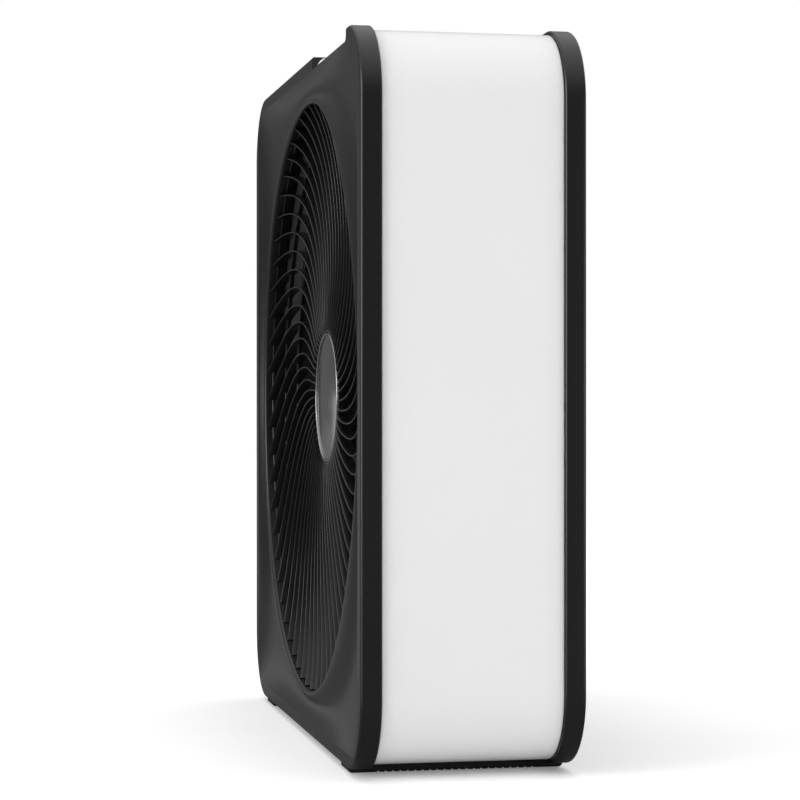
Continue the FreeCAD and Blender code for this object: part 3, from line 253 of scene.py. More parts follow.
# Foot rails
FOOT_CHAMFER = 1.6
FOOT_SOLE_EDGE = (0.5, 0.6)  # corner between the side and the sole, in and up
FOOT_CLEARANCE = 0.2         # foot's step, beside the band's edges
GROOVES = 22
GROOVE_DEPTH = 0.7
GROOVE_TOP = 1.1             # half width at the sole
GROOVE_FLOOR = 0.7           # half width at the bottom
GROOVE_MARGIN = 6.0

# Mesh
SPOKES = 960                 # points round a bezel or the band
CUT_PAST = 4.0               # how far a cutting block runs past what it cuts
HOLE_CUT_PAST = 2.0          # the same for the rear bezel's holes, one of which fails to cut at 4
ON_AXIS = 0.001              # radius of a lathe profile's end on the axis
EDGE_STEPS = 10              # arcs of the front bezel
FLANK_STEPS = 16
DISH_STEPS = 18
BAND_STEPS = 8
VANE_STEPS = 34
DECK_GRID = (76, 48)         # across and along
DECK_CROWD_BACK = 1.6        # how closely the deck's points crowd to its back wall
DECK_CROWD_ENDS = 0.75       # and to its ends
SMOOTH_DEG = 35.0            # edges sharper than this stay sharp
FRONT_SMOOTH_DEG = 13.0
CUT_SMOOTH_DEG = 32.0
DECK_SMOOTH_DEG = 50.0
FOOT_SMOOTH_DEG = 25.0

# ------------------------------------------------------------------ stage values, metres
CAMERA_AZIMUTH = 78.744      # degrees round from the front
CAMERA_DISTANCE = 1.885
CAMERA_AIM_Y = -0.0005
CAMERA_LENS = 107.2
FLOOR_SIZE = 9.0
FLOOR_DROP = 0.0005
FLOOR_TONES = (0.93, 0.95)
FLOOR_IN_GLOSS = 0.24        # how bright glossy pieces see the floor
FLOOR_LIFT = 0.18            # extra floor brightness for the camera
ROOM_STRENGTH = 1.86
ROOM_DIM_TO = 0.30           # height up to which the room stays dim
ROOM_DIM = 0.092
ROOM_CEILING = 0.88
LIGHTS = (                   # name, place, aim, size, power
    ("front_soft", (0.9, -2.9, 0.9), (0, 0, 0.26), (2.2, 2.0), 70.0),
    ("side_soft", (1.7, 2.2, 0.22), (0, 0, 0.12), (1.4, 0.4), 10.0),
    ("low_soft", (-3.0, -1.2, 0.08), (0, 0, 0.26), (0.5, 0.4), 0.45),
    ("back_soft", (-1.6, 2.8, 1.4), (0, 0, 0.26), (1.6, 1.6), 16.0),
)


# ------------------------------------------------------------------ mesh helpers
def linked_mesh(name, verts, faces):
    """A mesh object from points in millimetres, with its faces turned outward."""
    mesh = bpy.data.meshes.new(name)
    mesh.from_pydata([tuple(v * MM for v in p) for p in verts], [], faces)
    work = bmesh.new()
    work.from_mesh(mesh)
    bmesh.ops.remove_doubles(work, verts=work.verts, dist=1e-6)
    bmesh.ops.recalc_face_normals(work, faces=work.faces)
    work.to_mesh(mesh)
    work.free()
    thing = bpy.data.objects.new(name, mesh)
    bpy.context.scene.collection.objects.link(thing)
    return thing


def new_object(name, verts, faces, body, slot_name, material, replaced=()):
    """A piece that rides on a body and stands for the CAD nodes it replaces."""
    piece = linked_mesh(name, verts, faces)
    piece.data.materials.append(material)
    smooth(piece, SMOOTH_DEG)
    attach(piece, body)
    if replaced:
        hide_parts(*replaced)
    return piece


def smooth(piece, degrees):
    mesh = piece.data
    mesh.polygons.foreach_set("use_smooth", [True] * len(mesh.polygons))
    mesh.set_sharp_from_angle(angle=math.radians(degrees))


def grid(rows, close_rows=True, close_columns=True):
    """Points and quads of a grid; rows are lists of points that run round the axis."""
    points, faces = [], []
    count, width = len(rows), len(rows[0])
    for row in rows:
        points.extend(row)
    for i in range(count if close_rows else count - 1):
        for j in range(width if close_columns else width - 1):
            a, b = i * width + j, i * width + (j + 1) % width
            c, d = ((i + 1) % count) * width + (j + 1) % width, ((i + 1) % count) * width + j
            faces.append((a, b, c, d))
    return points, faces


def joined(parts):
    """Several (points, faces) sets as one."""
    points, faces = [], []
    for more_points, more_faces in parts:
        base = len(points)
        points.extend(more_points)
        faces.extend([tuple(base + k for k in face) for face in more_faces])
    return points, faces


def turns(count):
    """Evenly spaced angles over a full turn."""
    return [2 * math.pi * k / count for k in range(count)]


def turned_profile(profile, count=192):
    """Rings from (radius, y) pairs turned about the fan's axis."""
    return [[place(radius, a, y) for a in turns(count)] for radius, y in profile]


def lathe(name, profile, body, slot_name, material, replaced=(), count=192, solid_axis=False):
    """Turned piece. With solid_axis the profile starts and ends on the axis and isn't closed round."""
    points, faces = grid(turned_profile(profile, count), close_rows=not solid_axis)
    new_object(name, points, faces, body, slot_name, material, replaced)


def capped(rows):
    """Points and faces of a bar through closed sections, with its two ends filled in."""
    points, faces = grid(rows, close_rows=False)
    width, last = len(rows[0]), (len(rows) - 1) * len(rows[0])
    faces.append(tuple(range(width)))
    faces.append(tuple(last + k for k in range(width - 1, -1, -1)))
    return points, faces


def arc(cx, cy, radius, start, end, steps):
    """Points of an arc in a profile plane; angles in degrees."""
    angles = [math.radians(start + (end - start) * k / steps) for k in range(steps + 1)]
    return [(cx + radius * math.cos(a), cy + radius * math.sin(a)) for a in angles]


def rounded_bar(width, height, radius, steps=3):
    """Closed rounded rectangle about the origin as (u, v) pairs."""
    w, h = width / 2 - radius, height / 2 - radius
    corners = [(w, h, 0), (-w, h, 90), (-w, -h, 180), (w, -h, 270)]
    return [p for cx, cy, a in corners for p in arc(cx, cy, radius, a, a + 90, steps)]


def square_radius(angle, half, corner):
    """Distance from the centre to a rounded square's outline along one direction."""
    c, s = abs(math.cos(angle)), abs(math.sin(angle))
    flat = half / max(c, s)
    centre = half - corner
    if flat * min(c, s) <= centre:
        return flat
    return centre * (c + s) + math.sqrt(max(corner ** 2 - centre ** 2 * (1 - 2 * c * s), 0.0))


def crease_radius(angle):
    """Inner edge of the front rim: a rounded rectangle that is narrower across than it is high."""
    across = (HALF - RIM_SIDE) / (HALF - RIM_TOP)
    x, z = math.cos(angle) / across, math.sin(angle)
    stretched = math.hypot(x, z)
    inner = square_radius(math.atan2(z, x), HALF - RIM_TOP, CREASE_R) / stretched
    edge = EDGE_R + RIM_LAND + RIM_MARGIN
    return min(inner, square_radius(angle, HALF - edge, CORNER_R - edge) - RIM_MARGIN)


def ease(t):
    """Smooth step from 0 to 1."""
    t = min(max(t, 0.0), 1.0)
    return t * t * (3 - 2 * t)


def place(radius, angle, y):
    """Point at a radius and angle about the fan's axis."""
    return (radius * math.cos(angle), y, AXIS_Z + radius * math.sin(angle))


def square_ring(half, corner, inset, y):
    """Rounded square about the fan's axis, drawn in by an inset."""
    return [place(square_radius(a, half - inset, corner - inset), a, y) for a in turns(SPOKES)]


# ------------------------------------------------------------------ materials
def base_material(name):
    """A new material with only a shader and its output."""
    material = bpy.data.materials.new(name)
    material.use_nodes = True
    nodes = material.node_tree.nodes
    nodes.clear()
    shader = nodes.new("ShaderNodeBsdfPrincipled")
    output = nodes.new("ShaderNodeOutputMaterial")
    material.node_tree.links.new(shader.outputs["BSDF"], output.inputs["Surface"])
    return material, nodes, material.node_tree.links, shader


def noise(nodes, links, scale, detail=4.0, stretch=(1, 1, 1)):
    """Noise in the object's own space; scale is features per metre."""
    coordinates = nodes.new("ShaderNodeTexCoord")
    mapping = nodes.new("ShaderNodeMapping")
    mapping.inputs["Scale"].default_value = stretch
    links.new(coordinates.outputs["Object"], mapping.inputs["Vector"])
    texture = nodes.new("ShaderNodeTexNoise")
    texture.inputs["Scale"].default_value = scale
    texture.inputs["Detail"].default_value = detail
    links.new(mapping.outputs["Vector"], texture.inputs["Vector"])
    return texture


def ramp(nodes, links, source, low, high, start=0.35, end=0.65):
    """Colour ramp between two colours or two grey levels."""
    node = nodes.new("ShaderNodeValToRGB")
    for element, at, colour in zip(node.color_ramp.elements, (start, end), (low, high)):
        element.position = at
        colour = (colour,) * 3 if isinstance(colour, float) else colour
        element.color = (*colour, 1.0)
    links.new(source, node.inputs["Fac"])
    return node.outputs["Color"]


def bump(nodes, links, shader, source, distance):
    node = nodes.new("ShaderNodeBump")
    node.inputs["Distance"].default_value = distance
    links.new(source, node.inputs["Height"])
    links.new(node.outputs["Normal"], shader.inputs["Normal"])


def moulded(name, colour, rough, grain=2600.0, depth=0.00002, mottle=0.06, specular=0.5):
    """Moulded plastic: fine tool texture, faint flow mottling and uneven gloss."""
    material, nodes, links, shader = base_material(name)
    cloud = noise(nodes, links, 14.0, 3.0)
    dark = tuple(c * (1 - mottle) for c in colour)
    light = tuple(min(c * (1 + mottle), 1.0) for c in colour)
    links.new(ramp(nodes, links, cloud.outputs["Fac"], dark, light), shader.inputs["Base Color"])
    fine = noise(nodes, links, grain, 2.0)
    links.new(ramp(nodes, links, fine.outputs["Fac"], rough - 0.04, rough + 0.04, 0.3, 0.7),
              shader.inputs["Roughness"])
    bump(nodes, links, shader, fine.outputs["Fac"], depth)
    shader.inputs["Specular IOR Level"].default_value = specular
    return material


def metal(name, colour, rough, stretch=(1, 1, 1), scale=400.0, depth=0.000006, contrast=0.12):
    """Metal with directional scratches and slight tarnish."""
    material, nodes, links, shader = base_material(name)
    shader.inputs["Metallic"].default_value = 1.0
    streak = noise(nodes, links, scale, 6.0, stretch)
    dark = tuple(c * (1 - contrast) for c in colour)
    links.new(ramp(nodes, links, streak.outputs["Fac"], dark, colour), shader.inputs["Base Color"])
    links.new(ramp(nodes, links, streak.outputs["Fac"], rough * 0.8, min(rough * 1.25, 1.0)),
              shader.inputs["Roughness"])
    bump(nodes, links, shader, streak.outputs["Fac"], depth)
    return material


def banded(name, colour, rough, spacing, metallic, depth=0.0001):
    """Stacked or wound material: fine even bands across the fan's axis."""
    material, nodes, links, shader = base_material(name)
    shader.inputs["Metallic"].default_value = metallic
    coordinates = nodes.new("ShaderNodeTexCoord")
    wave = nodes.new("ShaderNodeTexWave")
    wave.bands_direction = "Y"
    wave.inputs["Scale"].default_value = 2 * math.pi / spacing / 20.0
    wave.inputs["Distortion"].default_value = 0.4
    wave.inputs["Detail"].default_value = 2.0
    links.new(coordinates.outputs["Object"], wave.inputs["Vector"])
    dark = tuple(c * 0.55 for c in colour)
    links.new(ramp(nodes, links, wave.outputs["Fac"], dark, colour, 0.2, 0.6), shader.inputs["Base Color"])
    shader.inputs["Roughness"].default_value = rough
    bump(nodes, links, shader, wave.outputs["Fac"], depth)
    return material


BLACK = moulded("bezel_black", (0.006, 0.006, 0.0063), 0.33, specular=0.42)
GRILLE_BLACK = moulded("grille_black", (0.004, 0.004, 0.0042), 0.30, grain=3200.0)
WHITE = moulded("band_white", (0.80, 0.80, 0.80), 0.24, grain=1500.0, depth=0.000006, mottle=0.006)
DUCT = moulded("duct_black", (0.010, 0.010, 0.011), 0.55)
BLADE = moulded("blade_grey", (0.020, 0.020, 0.022), 0.36)
KNOB = moulded("knob_black", (0.018, 0.018, 0.019), 0.30)
MARK = moulded("mark_grey", (0.42, 0.42, 0.43), 0.45)
BAKELITE = moulded("switch_brown", (0.030, 0.026, 0.024), 0.30)
RUBBER = moulded("foot_rubber", (0.008, 0.008, 0.008), 0.72, grain=1800.0, depth=0.00006)
SLEEVE = moulded("lead_sleeve", (0.012, 0.012, 0.012), 0.45)
CAP = metal("dark_chrome", (0.20, 0.20, 0.21), 0.14, scale=60.0, depth=0.000002, contrast=0.05)
BRIGHT = metal("bright_trim", (0.34, 0.34, 0.35), 0.24, scale=80.0, depth=0.000002, contrast=0.04)
ZINC = metal("zinc_steel", (0.58, 0.58, 0.60), 0.30, stretch=(1, 8, 1))
SHEET = metal("bracket_steel", (0.42, 0.42, 0.44), 0.38, stretch=(6, 1, 1))
CASTING = metal("cast_alloy", (0.62, 0.62, 0.63), 0.48, scale=700.0, depth=0.00004, contrast=0.2)
BRONZE = metal("sintered_bronze", (0.55, 0.37, 0.17), 0.42, scale=900.0, depth=0.00002)
LAMINATE = banded("core_laminate", (0.26, 0.26, 0.28), 0.42, 0.001, 1.0)
WIRE = banded("winding_wire", (0.50, 0.20, 0.07), 0.32, 0.0012, 0.8)


# ------------------------------------------------------------------ front bezel
def front_depths(angle):
    """Lip crest, and radius and depth pairs from it across the front face to the rim's crease."""
    span = crease_radius(angle) - OPENING_R
    corner = math.sin(2 * angle) ** 2            # 0 at the sides, 1 on the diagonals
    side = ease((abs(math.cos(angle)) - SIDE_START) / SIDE_BLEND)
    crest = LIP_DROP - LIP_CORNER_RISE * corner
    base = DISH_DEPTH + DISH_CORNER_DEPTH * corner
    width = FLANK_W + FLANK_CORNER_W * corner ** FLANK_SPREAD
    pairs = []
    for k in range(1, FLANK_STEPS + 1):
        t = k / FLANK_STEPS
        radius = LIP_ROUND + (width - LIP_ROUND) * t
        pairs.append((OPENING_R + radius, crest + (base - crest) * ease(t)))
    steep = DISH_STEEP + DISH_CORNER_STEEP * corner
    for k in range(1, DISH_STEPS + 1):
        t = k / DISH_STEPS
        crisp = 1 - t ** steep
        level = crisp + (ease(1 - t) - crisp) * SIDE_SOFT * side
        pairs.append((OPENING_R + width + (span - width) * t, base * level))
    return crest, pairs


def front_column(angle):
    """Closed section of the front bezel along one direction, as radius and depth pairs."""
    def outline(inset):
        return square_radius(angle, HALF - inset, CORNER_R - inset)

    crest, pairs = front_depths(angle)
    column = [(OPENING_R, BEZEL_T)]
    lip = arc(LIP_ROUND, LIP_ROUND, LIP_ROUND, 180, 270, EDGE_STEPS)
    column += [(OPENING_R + u, crest + v) for u, v in lip]
    column += pairs
    column.append((outline(EDGE_R + RIM_LAND), 0.0))
    column += [(outline(EDGE_R - u), EDGE_R - v) for u, v in arc(0, 0, EDGE_R, 90, 0, EDGE_STEPS)]
    column.append((outline(0.0), BEZEL_T - BACK_EDGE))
    column += [(outline(inset), BEZEL_T) for inset in (BACK_EDGE, BACK_LAP)]
    return column


def front_bezel_piece():
    angles = turns(SPOKES)
    columns = [front_column(angle) for angle in angles]
    rows = [[place(column[i][0], angle, FRONT_Y + column[i][1]) for column, angle in zip(columns, angles)]
            for i in range(len(columns[0]))]
    piece = new_object("bezel_front", *grid(rows), "housing", "black_plastic", BLACK, ("front_bezel",))
    cut(piece, notch_outline(), FRONT_Y - CUT_PAST, BAND_FRONT_Y + CUT_PAST)
    smooth(piece, FRONT_SMOOTH_DEG)


def extruded(profile, y0, y1):
    """Closed (x, z) outline carried along Y."""
    return capped([[(x, y, z) for x, z in profile] for y in (y0, y1)])


def cut(piece, outline, y0, y1):
    """Cuts a closed (x, z) outline carried along Y out of a piece."""
    tool = linked_mesh("cutter", *extruded(outline, y0, y1))
    change = piece.modifiers.new("cut", "BOOLEAN")
    change.operation = "DIFFERENCE"
    change.solver = "EXACT"
    change.object = tool
    graph = bpy.context.evaluated_depsgraph_get()
    mesh = bpy.data.meshes.new_from_object(piece.evaluated_get(graph))
    piece.modifiers.clear()
    old = piece.data
    piece.data = mesh
    mesh.name = piece.name
    bpy.data.meshes.remove(old)
    bpy.data.objects.remove(tool)


def notch_outline():
    """Notch in the top rim: a leaning left wall, and a right wall with a rounded foot and top."""
    floor, high = TOP_Z - NOTCH_DEPTH, TOP_Z + CUT_PAST
    outline = [(NOTCH_LEFT, high), (NOTCH_LEFT + NOTCH_DRAFT, floor)]
    outline += arc(NOTCH_RIGHT - NOTCH_FLOOR_R, floor + NOTCH_FLOOR_R, NOTCH_FLOOR_R, 270, 360, 8)
    outline += arc(NOTCH_RIGHT + NOTCH_TOP_R, TOP_Z - NOTCH_TOP_R, NOTCH_TOP_R, 180, 90, 8)
    outline.append((NOTCH_RIGHT + NOTCH_TOP_R, high))
    return outline


# ------------------------------------------------------------------ rear bezel
def rear_bezel_piece():
    def outline(inset, y):
        return square_ring(HALF, CORNER_R, inset, y)

    def circle(radius, y):
        return [place(radius, a, y) for a in turns(SPOKES)]

    panel, hole, foot, rim = REAR_PANEL_Y, REAR_HOLE_EDGE_R, REAR_FOOT_R, REAR_RIM_R
    rows = [circle(REAR_OPENING_R, BAND_REAR_Y)]
    rows += [circle(REAR_OPENING_R + hole + u, panel - hole + v) for u, v in arc(0, 0, hole, 180, 90, 4)]
    rows.append(circle(REAR_OPENING_R + REAR_SEAT_W, panel))
    rows.append(outline(RIM_TOP + REAR_CREASE_W, panel))
    rows += [outline(RIM_TOP + u, panel + v) for u, v in arc(foot, foot, foot, 270, 180, 4)]
    rows += [outline(RIM_TOP - rim + u, REAR_Y - rim + v) for u, v in arc(0, 0, rim, 0, 90, 4)]
    rows.append(outline(EDGE_R + RIM_LAND, REAR_Y))
    rows += [outline(EDGE_R - u, REAR_Y - EDGE_R + v) for u, v in arc(0, 0, EDGE_R, 90, 0, 6)]
    rows.append(outline(0.0, BAND_REAR_Y + BACK_EDGE))
    rows.append(outline(BACK_EDGE, BAND_REAR_Y))
    rows.append(outline(BACK_LAP, BAND_REAR_Y))
    piece = new_object("bezel_rear", *grid(rows), "housing", "black_plastic", BLACK, ("rear_bezel",))
    inlet_low, inlet_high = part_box("cord_gland")
    centre = (inlet_low + inlet_high) / 2
    holes = [(centre.x / MM, centre.z / MM, INLET_HOLE_R)]
    inset = HALF - CORNER_SCREW_INSET
    holes += [(sx * inset, AXIS_Z + sz * inset, CORNER_SCREW_HOLE_R) for sx in (-1, 1) for sz in (-1, 1)]
    for x, z, radius in holes:
        ring = [(x + radius * math.cos(a), z + radius * math.sin(a)) for a in turns(32)]
        cut(piece, ring, BAND_REAR_Y - HOLE_CUT_PAST, REAR_Y + HOLE_CUT_PAST)
    smooth(piece, CUT_SMOOTH_DEG)


# ------------------------------------------------------------------ band and control deck
def band_piece():
    corner = CORNER_R - (HALF - BAND_HALF)
    edge = BAND_EDGE_R

    def outline(inset, y):
        return square_ring(BAND_HALF, corner, inset, y)

    rows = [outline(BAND_WALL, BAND_FRONT_Y)]
    rows += [outline(edge - u, BAND_FRONT_Y + edge - v) for u, v in arc(0, 0, edge, 90, 0, 5)]
    for k in range(1, BAND_STEPS):
        rows.append(outline(0.0, BAND_FRONT_Y + (BAND_REAR_Y - BAND_FRONT_Y) * k / BAND_STEPS))
    rows += [outline(edge - u, BAND_REAR_Y - edge + v) for u, v in arc(0, 0, edge, 0, 90, 5)]
    rows.append(outline(BAND_WALL, BAND_REAR_Y))
    piece = new_object("band_shell", *grid(rows), "housing", "white_plastic", WHITE, ("side_band",))
    low, high = BAND_TOP - BAND_WALL - CUT_PAST, BAND_TOP + CUT_PAST
    hole = [(NOTCH_LEFT, low), (NOTCH_RIGHT, low), (NOTCH_RIGHT, high), (NOTCH_LEFT, high)]
    cut(piece, hole, BAND_FRONT_Y - CUT_PAST, BAND_FRONT_Y + DECK_BACK)
    smooth(piece, CUT_SMOOTH_DEG)


def deck_piece():
    """White trough with a floor that curves up into both ends and into the back wall."""
    left, right = NOTCH_LEFT, NOTCH_RIGHT
    y0, y1 = BAND_FRONT_Y, BAND_FRONT_Y + DECK_BACK
    rise = BAND_TOP - DECK_FLOOR
    across, along = DECK_GRID
    run = math.sqrt(SCOOP_R ** 2 - (SCOOP_R - rise) ** 2)

    def lift(distance):
        """Height of the scoop at a distance in from a wall."""
        if distance >= run:
            return 0.0
        return SCOOP_R - math.sqrt(SCOOP_R ** 2 - (run - distance) ** 2)

    upper, lower = [], []
    for i in range(along + 1):
        y = y0 + (y1 - y0) * (1 - (1 - i / along) ** DECK_CROWD_BACK)
        row_up, row_low = [], []
        for j in range(across + 1):
            t = j / across
            x = left + (right - left) * (t - math.sin(2 * math.pi * t) / (2 * math.pi) * DECK_CROWD_ENDS)
            height = max(lift(x - left), lift(right - x), lift(y1 - y))
            row_up.append((x, y, DECK_FLOOR + height))
            row_low.append((x, y, DECK_FLOOR + height - DECK_T))
        upper.append(row_up)
        lower.append(row_low)
    sides = [(upper[end], lower[end]) for end in (0, -1)]
    sides += [([row[end] for row in upper], [row[end] for row in lower]) for end in (0, -1)]
    points, faces = joined([grid(rows, False, False) for rows in [upper, lower] + sides])
    piece = new_object("deck_trough", points, faces, "housing", "white_plastic", WHITE, ("control_deck",))
    smooth(piece, DECK_SMOOTH_DEG)


def cheek_piece():
    """White wall that closes the left end of the notch, with a rounded front corner."""
    high = TOP_Z - CHEEK_DROP
    front, back = FRONT_Y + CHEEK_FRONT, BAND_FRONT_Y + CHEEK_BACK_LAP
    outline = [(back, DECK_FLOOR), (front, DECK_FLOOR)]
    outline += arc(front + CHEEK_R, high - CHEEK_R, CHEEK_R, 180, 90, 10)
    outline.append((back, high))
    inner = NOTCH_LEFT + CHEEK_T
    sections = [(NOTCH_LEFT, 0.0), (inner - CHEEK_EDGE, 0.0), (inner, CHEEK_EDGE)]
    rows = [[(x, y + pull * (y < back), z - pull * (z > DECK_FLOOR)) for y, z in outline]
            for x, pull in sections]
    new_object("deck_cheek", *capped(rows), "housing", "white_plastic", WHITE, ("control_deck",))


# ------------------------------------------------------------------ front grille
def bowl_y(radius):
    return FRONT_Y + float(np.polyval(BOWL, radius))


def vane_heading(radius):
    """Angle of a vane's centre line at a radius, and the direction in which it runs."""
    start, linear, square, origin = SWEEP
    run = radius - origin
    angle = math.radians(start + linear * run + square * run ** 2)
    slope = math.radians(linear + 2 * square * run) * radius
    return angle, angle + math.atan(slope)


def vane_grid(turn):
    """One swept vane with a rounded front edge and a thicker back edge."""
    half, root = VANE_T / 2, VANE_ROOT_T / 2
    section = [(-root, VANE_DEPTH), (-half, half)]
    section += [(-half * math.cos(a), half - half * math.sin(a)) for a in VANE_NOSE]
    section += [(half, half), (root, VANE_DEPTH)]
    inner, outer = HUB_R - VANE_HUB_LAP, OPENING_R - VANE_TIP_GAP
    rows = []
    for i in range(VANE_STEPS + 1):
        radius = inner + (outer - inner) * i / VANE_STEPS
        angle, heading = vane_heading(radius)
        angle, heading = angle + turn, heading + turn
        x, y, z = place(radius, angle, bowl_y(radius))
        y += VANE_DIP * ease((HUB_R + VANE_DIP_L - radius) / VANE_DIP_L)
        rows.append([(x - side * math.sin(heading), y + deep, z + side * math.cos(heading))
                     for side, deep in section])
    return capped(rows)


def front_grille_pieces():
    def moulding(name, profile, count=192):
        lathe(name, profile, "housing", "black_plastic", GRILLE_BLACK, ("front_grille",), count)

    vanes = joined([vane_grid(turn) for turn in turns(VANES)])
    new_object("grille_vanes", *vanes, "housing", "black_plastic", GRILLE_BLACK, ("front_grille",))
    front = FRONT_Y + HUB_DROP
    back, seat = front + HUB_DEPTH, front + HUB_SEAT
    wall, edge, lip = HUB_R - HUB_WALL, HUB_EDGE_R, HUB_INNER_EDGE_R
    profile = [(ON_AXIS, back), (HUB_R - HUB_BACK_EDGE, back), (HUB_R, back - HUB_BACK_EDGE)]
    profile += [(HUB_R - edge + u, front + edge - v) for u, v in arc(0, 0, edge, 0, 90, 6)]
    profile += [(wall + lip - u, front + lip - v) for u, v in arc(0, 0, lip, 90, 180, 4)]
    profile += [(wall, seat), (ON_AXIS, seat)]
    moulding("grille_hub", profile)
    for radius in STAYS:
        y = bowl_y(radius) + VANE_DEPTH - STAY_SINK
        section = rounded_bar(STAY_W, STAY_DEPTH, STAY_EDGE_R)
        moulding("grille_stay_%d" % radius, [(radius + u, y + v) for u, v in section])
    low, high = BAND_FRONT_Y, BAND_FRONT_Y + RING_T
    outer = OPENING_R - RING_GAP
    inner, flange = outer - COLLAR_T, OPENING_R + RING_FLANGE
    crown = FRONT_Y + COLLAR_DROP
    profile = [(inner, crown + COLLAR_EDGE), (inner + COLLAR_EDGE, crown), (outer, crown + COLLAR_EDGE)]
    profile += [(outer, low), (flange, low), (flange, high)]
    profile += [(inner + RING_EDGE, high), (inner, high - RING_EDGE)]
    moulding("grille_ring", profile, count=240)


def hub_cap_pieces():
    front = FRONT_Y + HUB_DROP
    back = front + CAP_BACK
    outer = HUB_R - HUB_WALL
    radius = outer - TRIM_W
    inset, chamfer = CAP_BACK_EDGE
    profile = [(ON_AXIS, back), (radius - inset, back), (radius, back - chamfer)]
    profile.append((radius, front + CAP_SIDE))
    for k in range(1, CAP_RINGS):
        r = radius * (1 - k / CAP_RINGS)
        edge = math.exp(-(radius - r) / CAP_EDGE_W)
        profile.append((r, front - CAP_PROUD + CAP_DOME * (r / radius) ** 2 + CAP_EDGE_DROP * edge))
    profile.append((ON_AXIS, front - CAP_PROUD))
    lathe("hub_cap_dome", profile, "housing", "dark_chrome", CAP, ("hub_cap",), solid_axis=True)
    start, half = front + TRIM_DROP, TRIM_W / 2
    profile = [(outer, back), (outer, start)]
    profile += [(outer - half + u, start - v) for u, v in arc(0, 0, half, 0, 180, 8)]
    profile += [(radius, back)]
    lathe("hub_trim", profile, "housing", "bright_trim", BRIGHT, ("hub_trim_ring",))


# ------------------------------------------------------------------ rear grille
def rear_rib(angle, inner, outer):
    """Straight bar between two radii. Its ends are open, out of sight in the hub and the flange."""
    rows = []
    for radius in (inner, outer):
        row = []
        for u, v in rounded_bar(REAR_BAR_W, REAR_RIB_DEPTH, REAR_RIB_EDGE_R):
            x, y, z = place(radius, angle, REAR_PANEL_Y - REAR_RIB_SINK + v)
            row.append((x - u * math.sin(angle), y, z + u * math.cos(angle)))
        rows.append(row)
    return grid(rows, close_rows=False)


def rear_grille_pieces():
    look = ("housing", "black_plastic", GRILLE_BLACK, ("rear_grille",))
    back, front = REAR_PANEL_Y, REAR_PANEL_Y - REAR_RING_DEPTH
    hub, outer = REAR_HUB_R, REAR_OPENING_R - REAR_GRILLE_INSET
    step = (outer - hub) / (REAR_RINGS + 1)
    rings = []
    for i in range(REAR_RINGS):
        section = rounded_bar(REAR_BAR_W, REAR_RING_DEPTH, REAR_RING_EDGE_R, 4)
        middle = (hub + step * (i + 1), back - REAR_RING_DEPTH / 2)
        rings.append(grid(turned_profile([(middle[0] + u, middle[1] + v) for u, v in section])))
    new_object("rear_rings", *joined(rings), *look)
    hub_lap, flange_lap = REAR_RIB_LAPS
    first = math.pi / REAR_RIBS
    ribs = [rear_rib(first + turn, hub - hub_lap, outer + flange_lap) for turn in turns(REAR_RIBS)]
    new_object("rear_ribs", *joined(ribs), *look)
    chamfer, round_r = REAR_HUB_BACK_EDGE, REAR_HUB_EDGE_R
    profile = [(ON_AXIS, front), (hub - chamfer, front), (hub, front + chamfer)]
    profile += [(hub - round_r + u, back - round_r + v) for u, v in arc(0, 0, round_r, 0, 90, 5)]
    profile += [(hub - inset, back - sink) for inset, sink in REAR_HUB_DISH]
    profile.append((ON_AXIS, back - REAR_HUB_DISH[-1][1]))
    lathe("rear_hub", profile, *look)
    flange, skirt = REAR_OPENING_R + REAR_FLANGE_W, REAR_OPENING_R - REAR_FLANGE_GAP
    seat, crown, edge = back + SEAT_LIFT, back + REAR_FLANGE_T, REAR_FLANGE_INNER_EDGE
    profile = [(outer, front), (skirt, front), (skirt, seat), (flange, seat)]
    profile += [(flange, crown - REAR_FLANGE_EDGE), (flange - REAR_FLANGE_EDGE, crown)]
    profile += [(outer + edge, crown), (outer, crown - edge)]
    lathe("rear_flange", profile, *look, count=240)


def screw_head_grid(x, z, crown):
    """Domed head with a cross recess that faces toward +Y."""
    radius, height = SCREW_HEAD_R, SCREW_HEAD_H
    base = crown - height
    angles = turns(32)
    profile = [(ON_AXIS, base), (radius, base), (radius, base + height * SCREW_SIDE)]
    for k in range(1, 7):
        a = SCREW_DOME * k / 6
        dome = math.sin(a) / math.sin(SCREW_DOME)
        profile.append((radius * math.cos(a), base + height * (SCREW_SIDE + (1 - SCREW_SIDE) * dome)))
    rows = [[(x + r * math.cos(a), y, z + r * math.sin(a)) for a in angles] for r, y in profile]
    for arm, valley, sink in SCREW_CROSS:
        reach = [radius * arm * (1.0 if math.cos(4 * a) > 0.3 else valley) for a in angles]
        rows.append([(x + r * math.cos(a), crown - sink, z + r * math.sin(a))
                     for r, a in zip(reach, angles)])
    return grid(rows)


def screws():
    """Rear grille screws, which can be seen from outside, with their shanks."""
    plane = REAR_PANEL_Y + REAR_FLANGE_T
    parts = []
    for k in range(REAR_SCREWS):
        x, _, z = place(REAR_OPENING_R + REAR_SCREW_W, (k + 0.5) * 2 * math.pi / REAR_SCREWS, plane)
        parts.append(screw_head_grid(x, z, plane + SCREW_HEAD_H))
        shank = [(x + SHANK_R * math.cos(b), z + SHANK_R * math.sin(b)) for b in turns(16)]
        parts.append(extruded(shank, plane - SHANK_L, plane + SHANK_LAP))
    new_object("rear_screw_set", *joined(parts), "housing", "steel", ZINC, ("rear_grille_screws",))


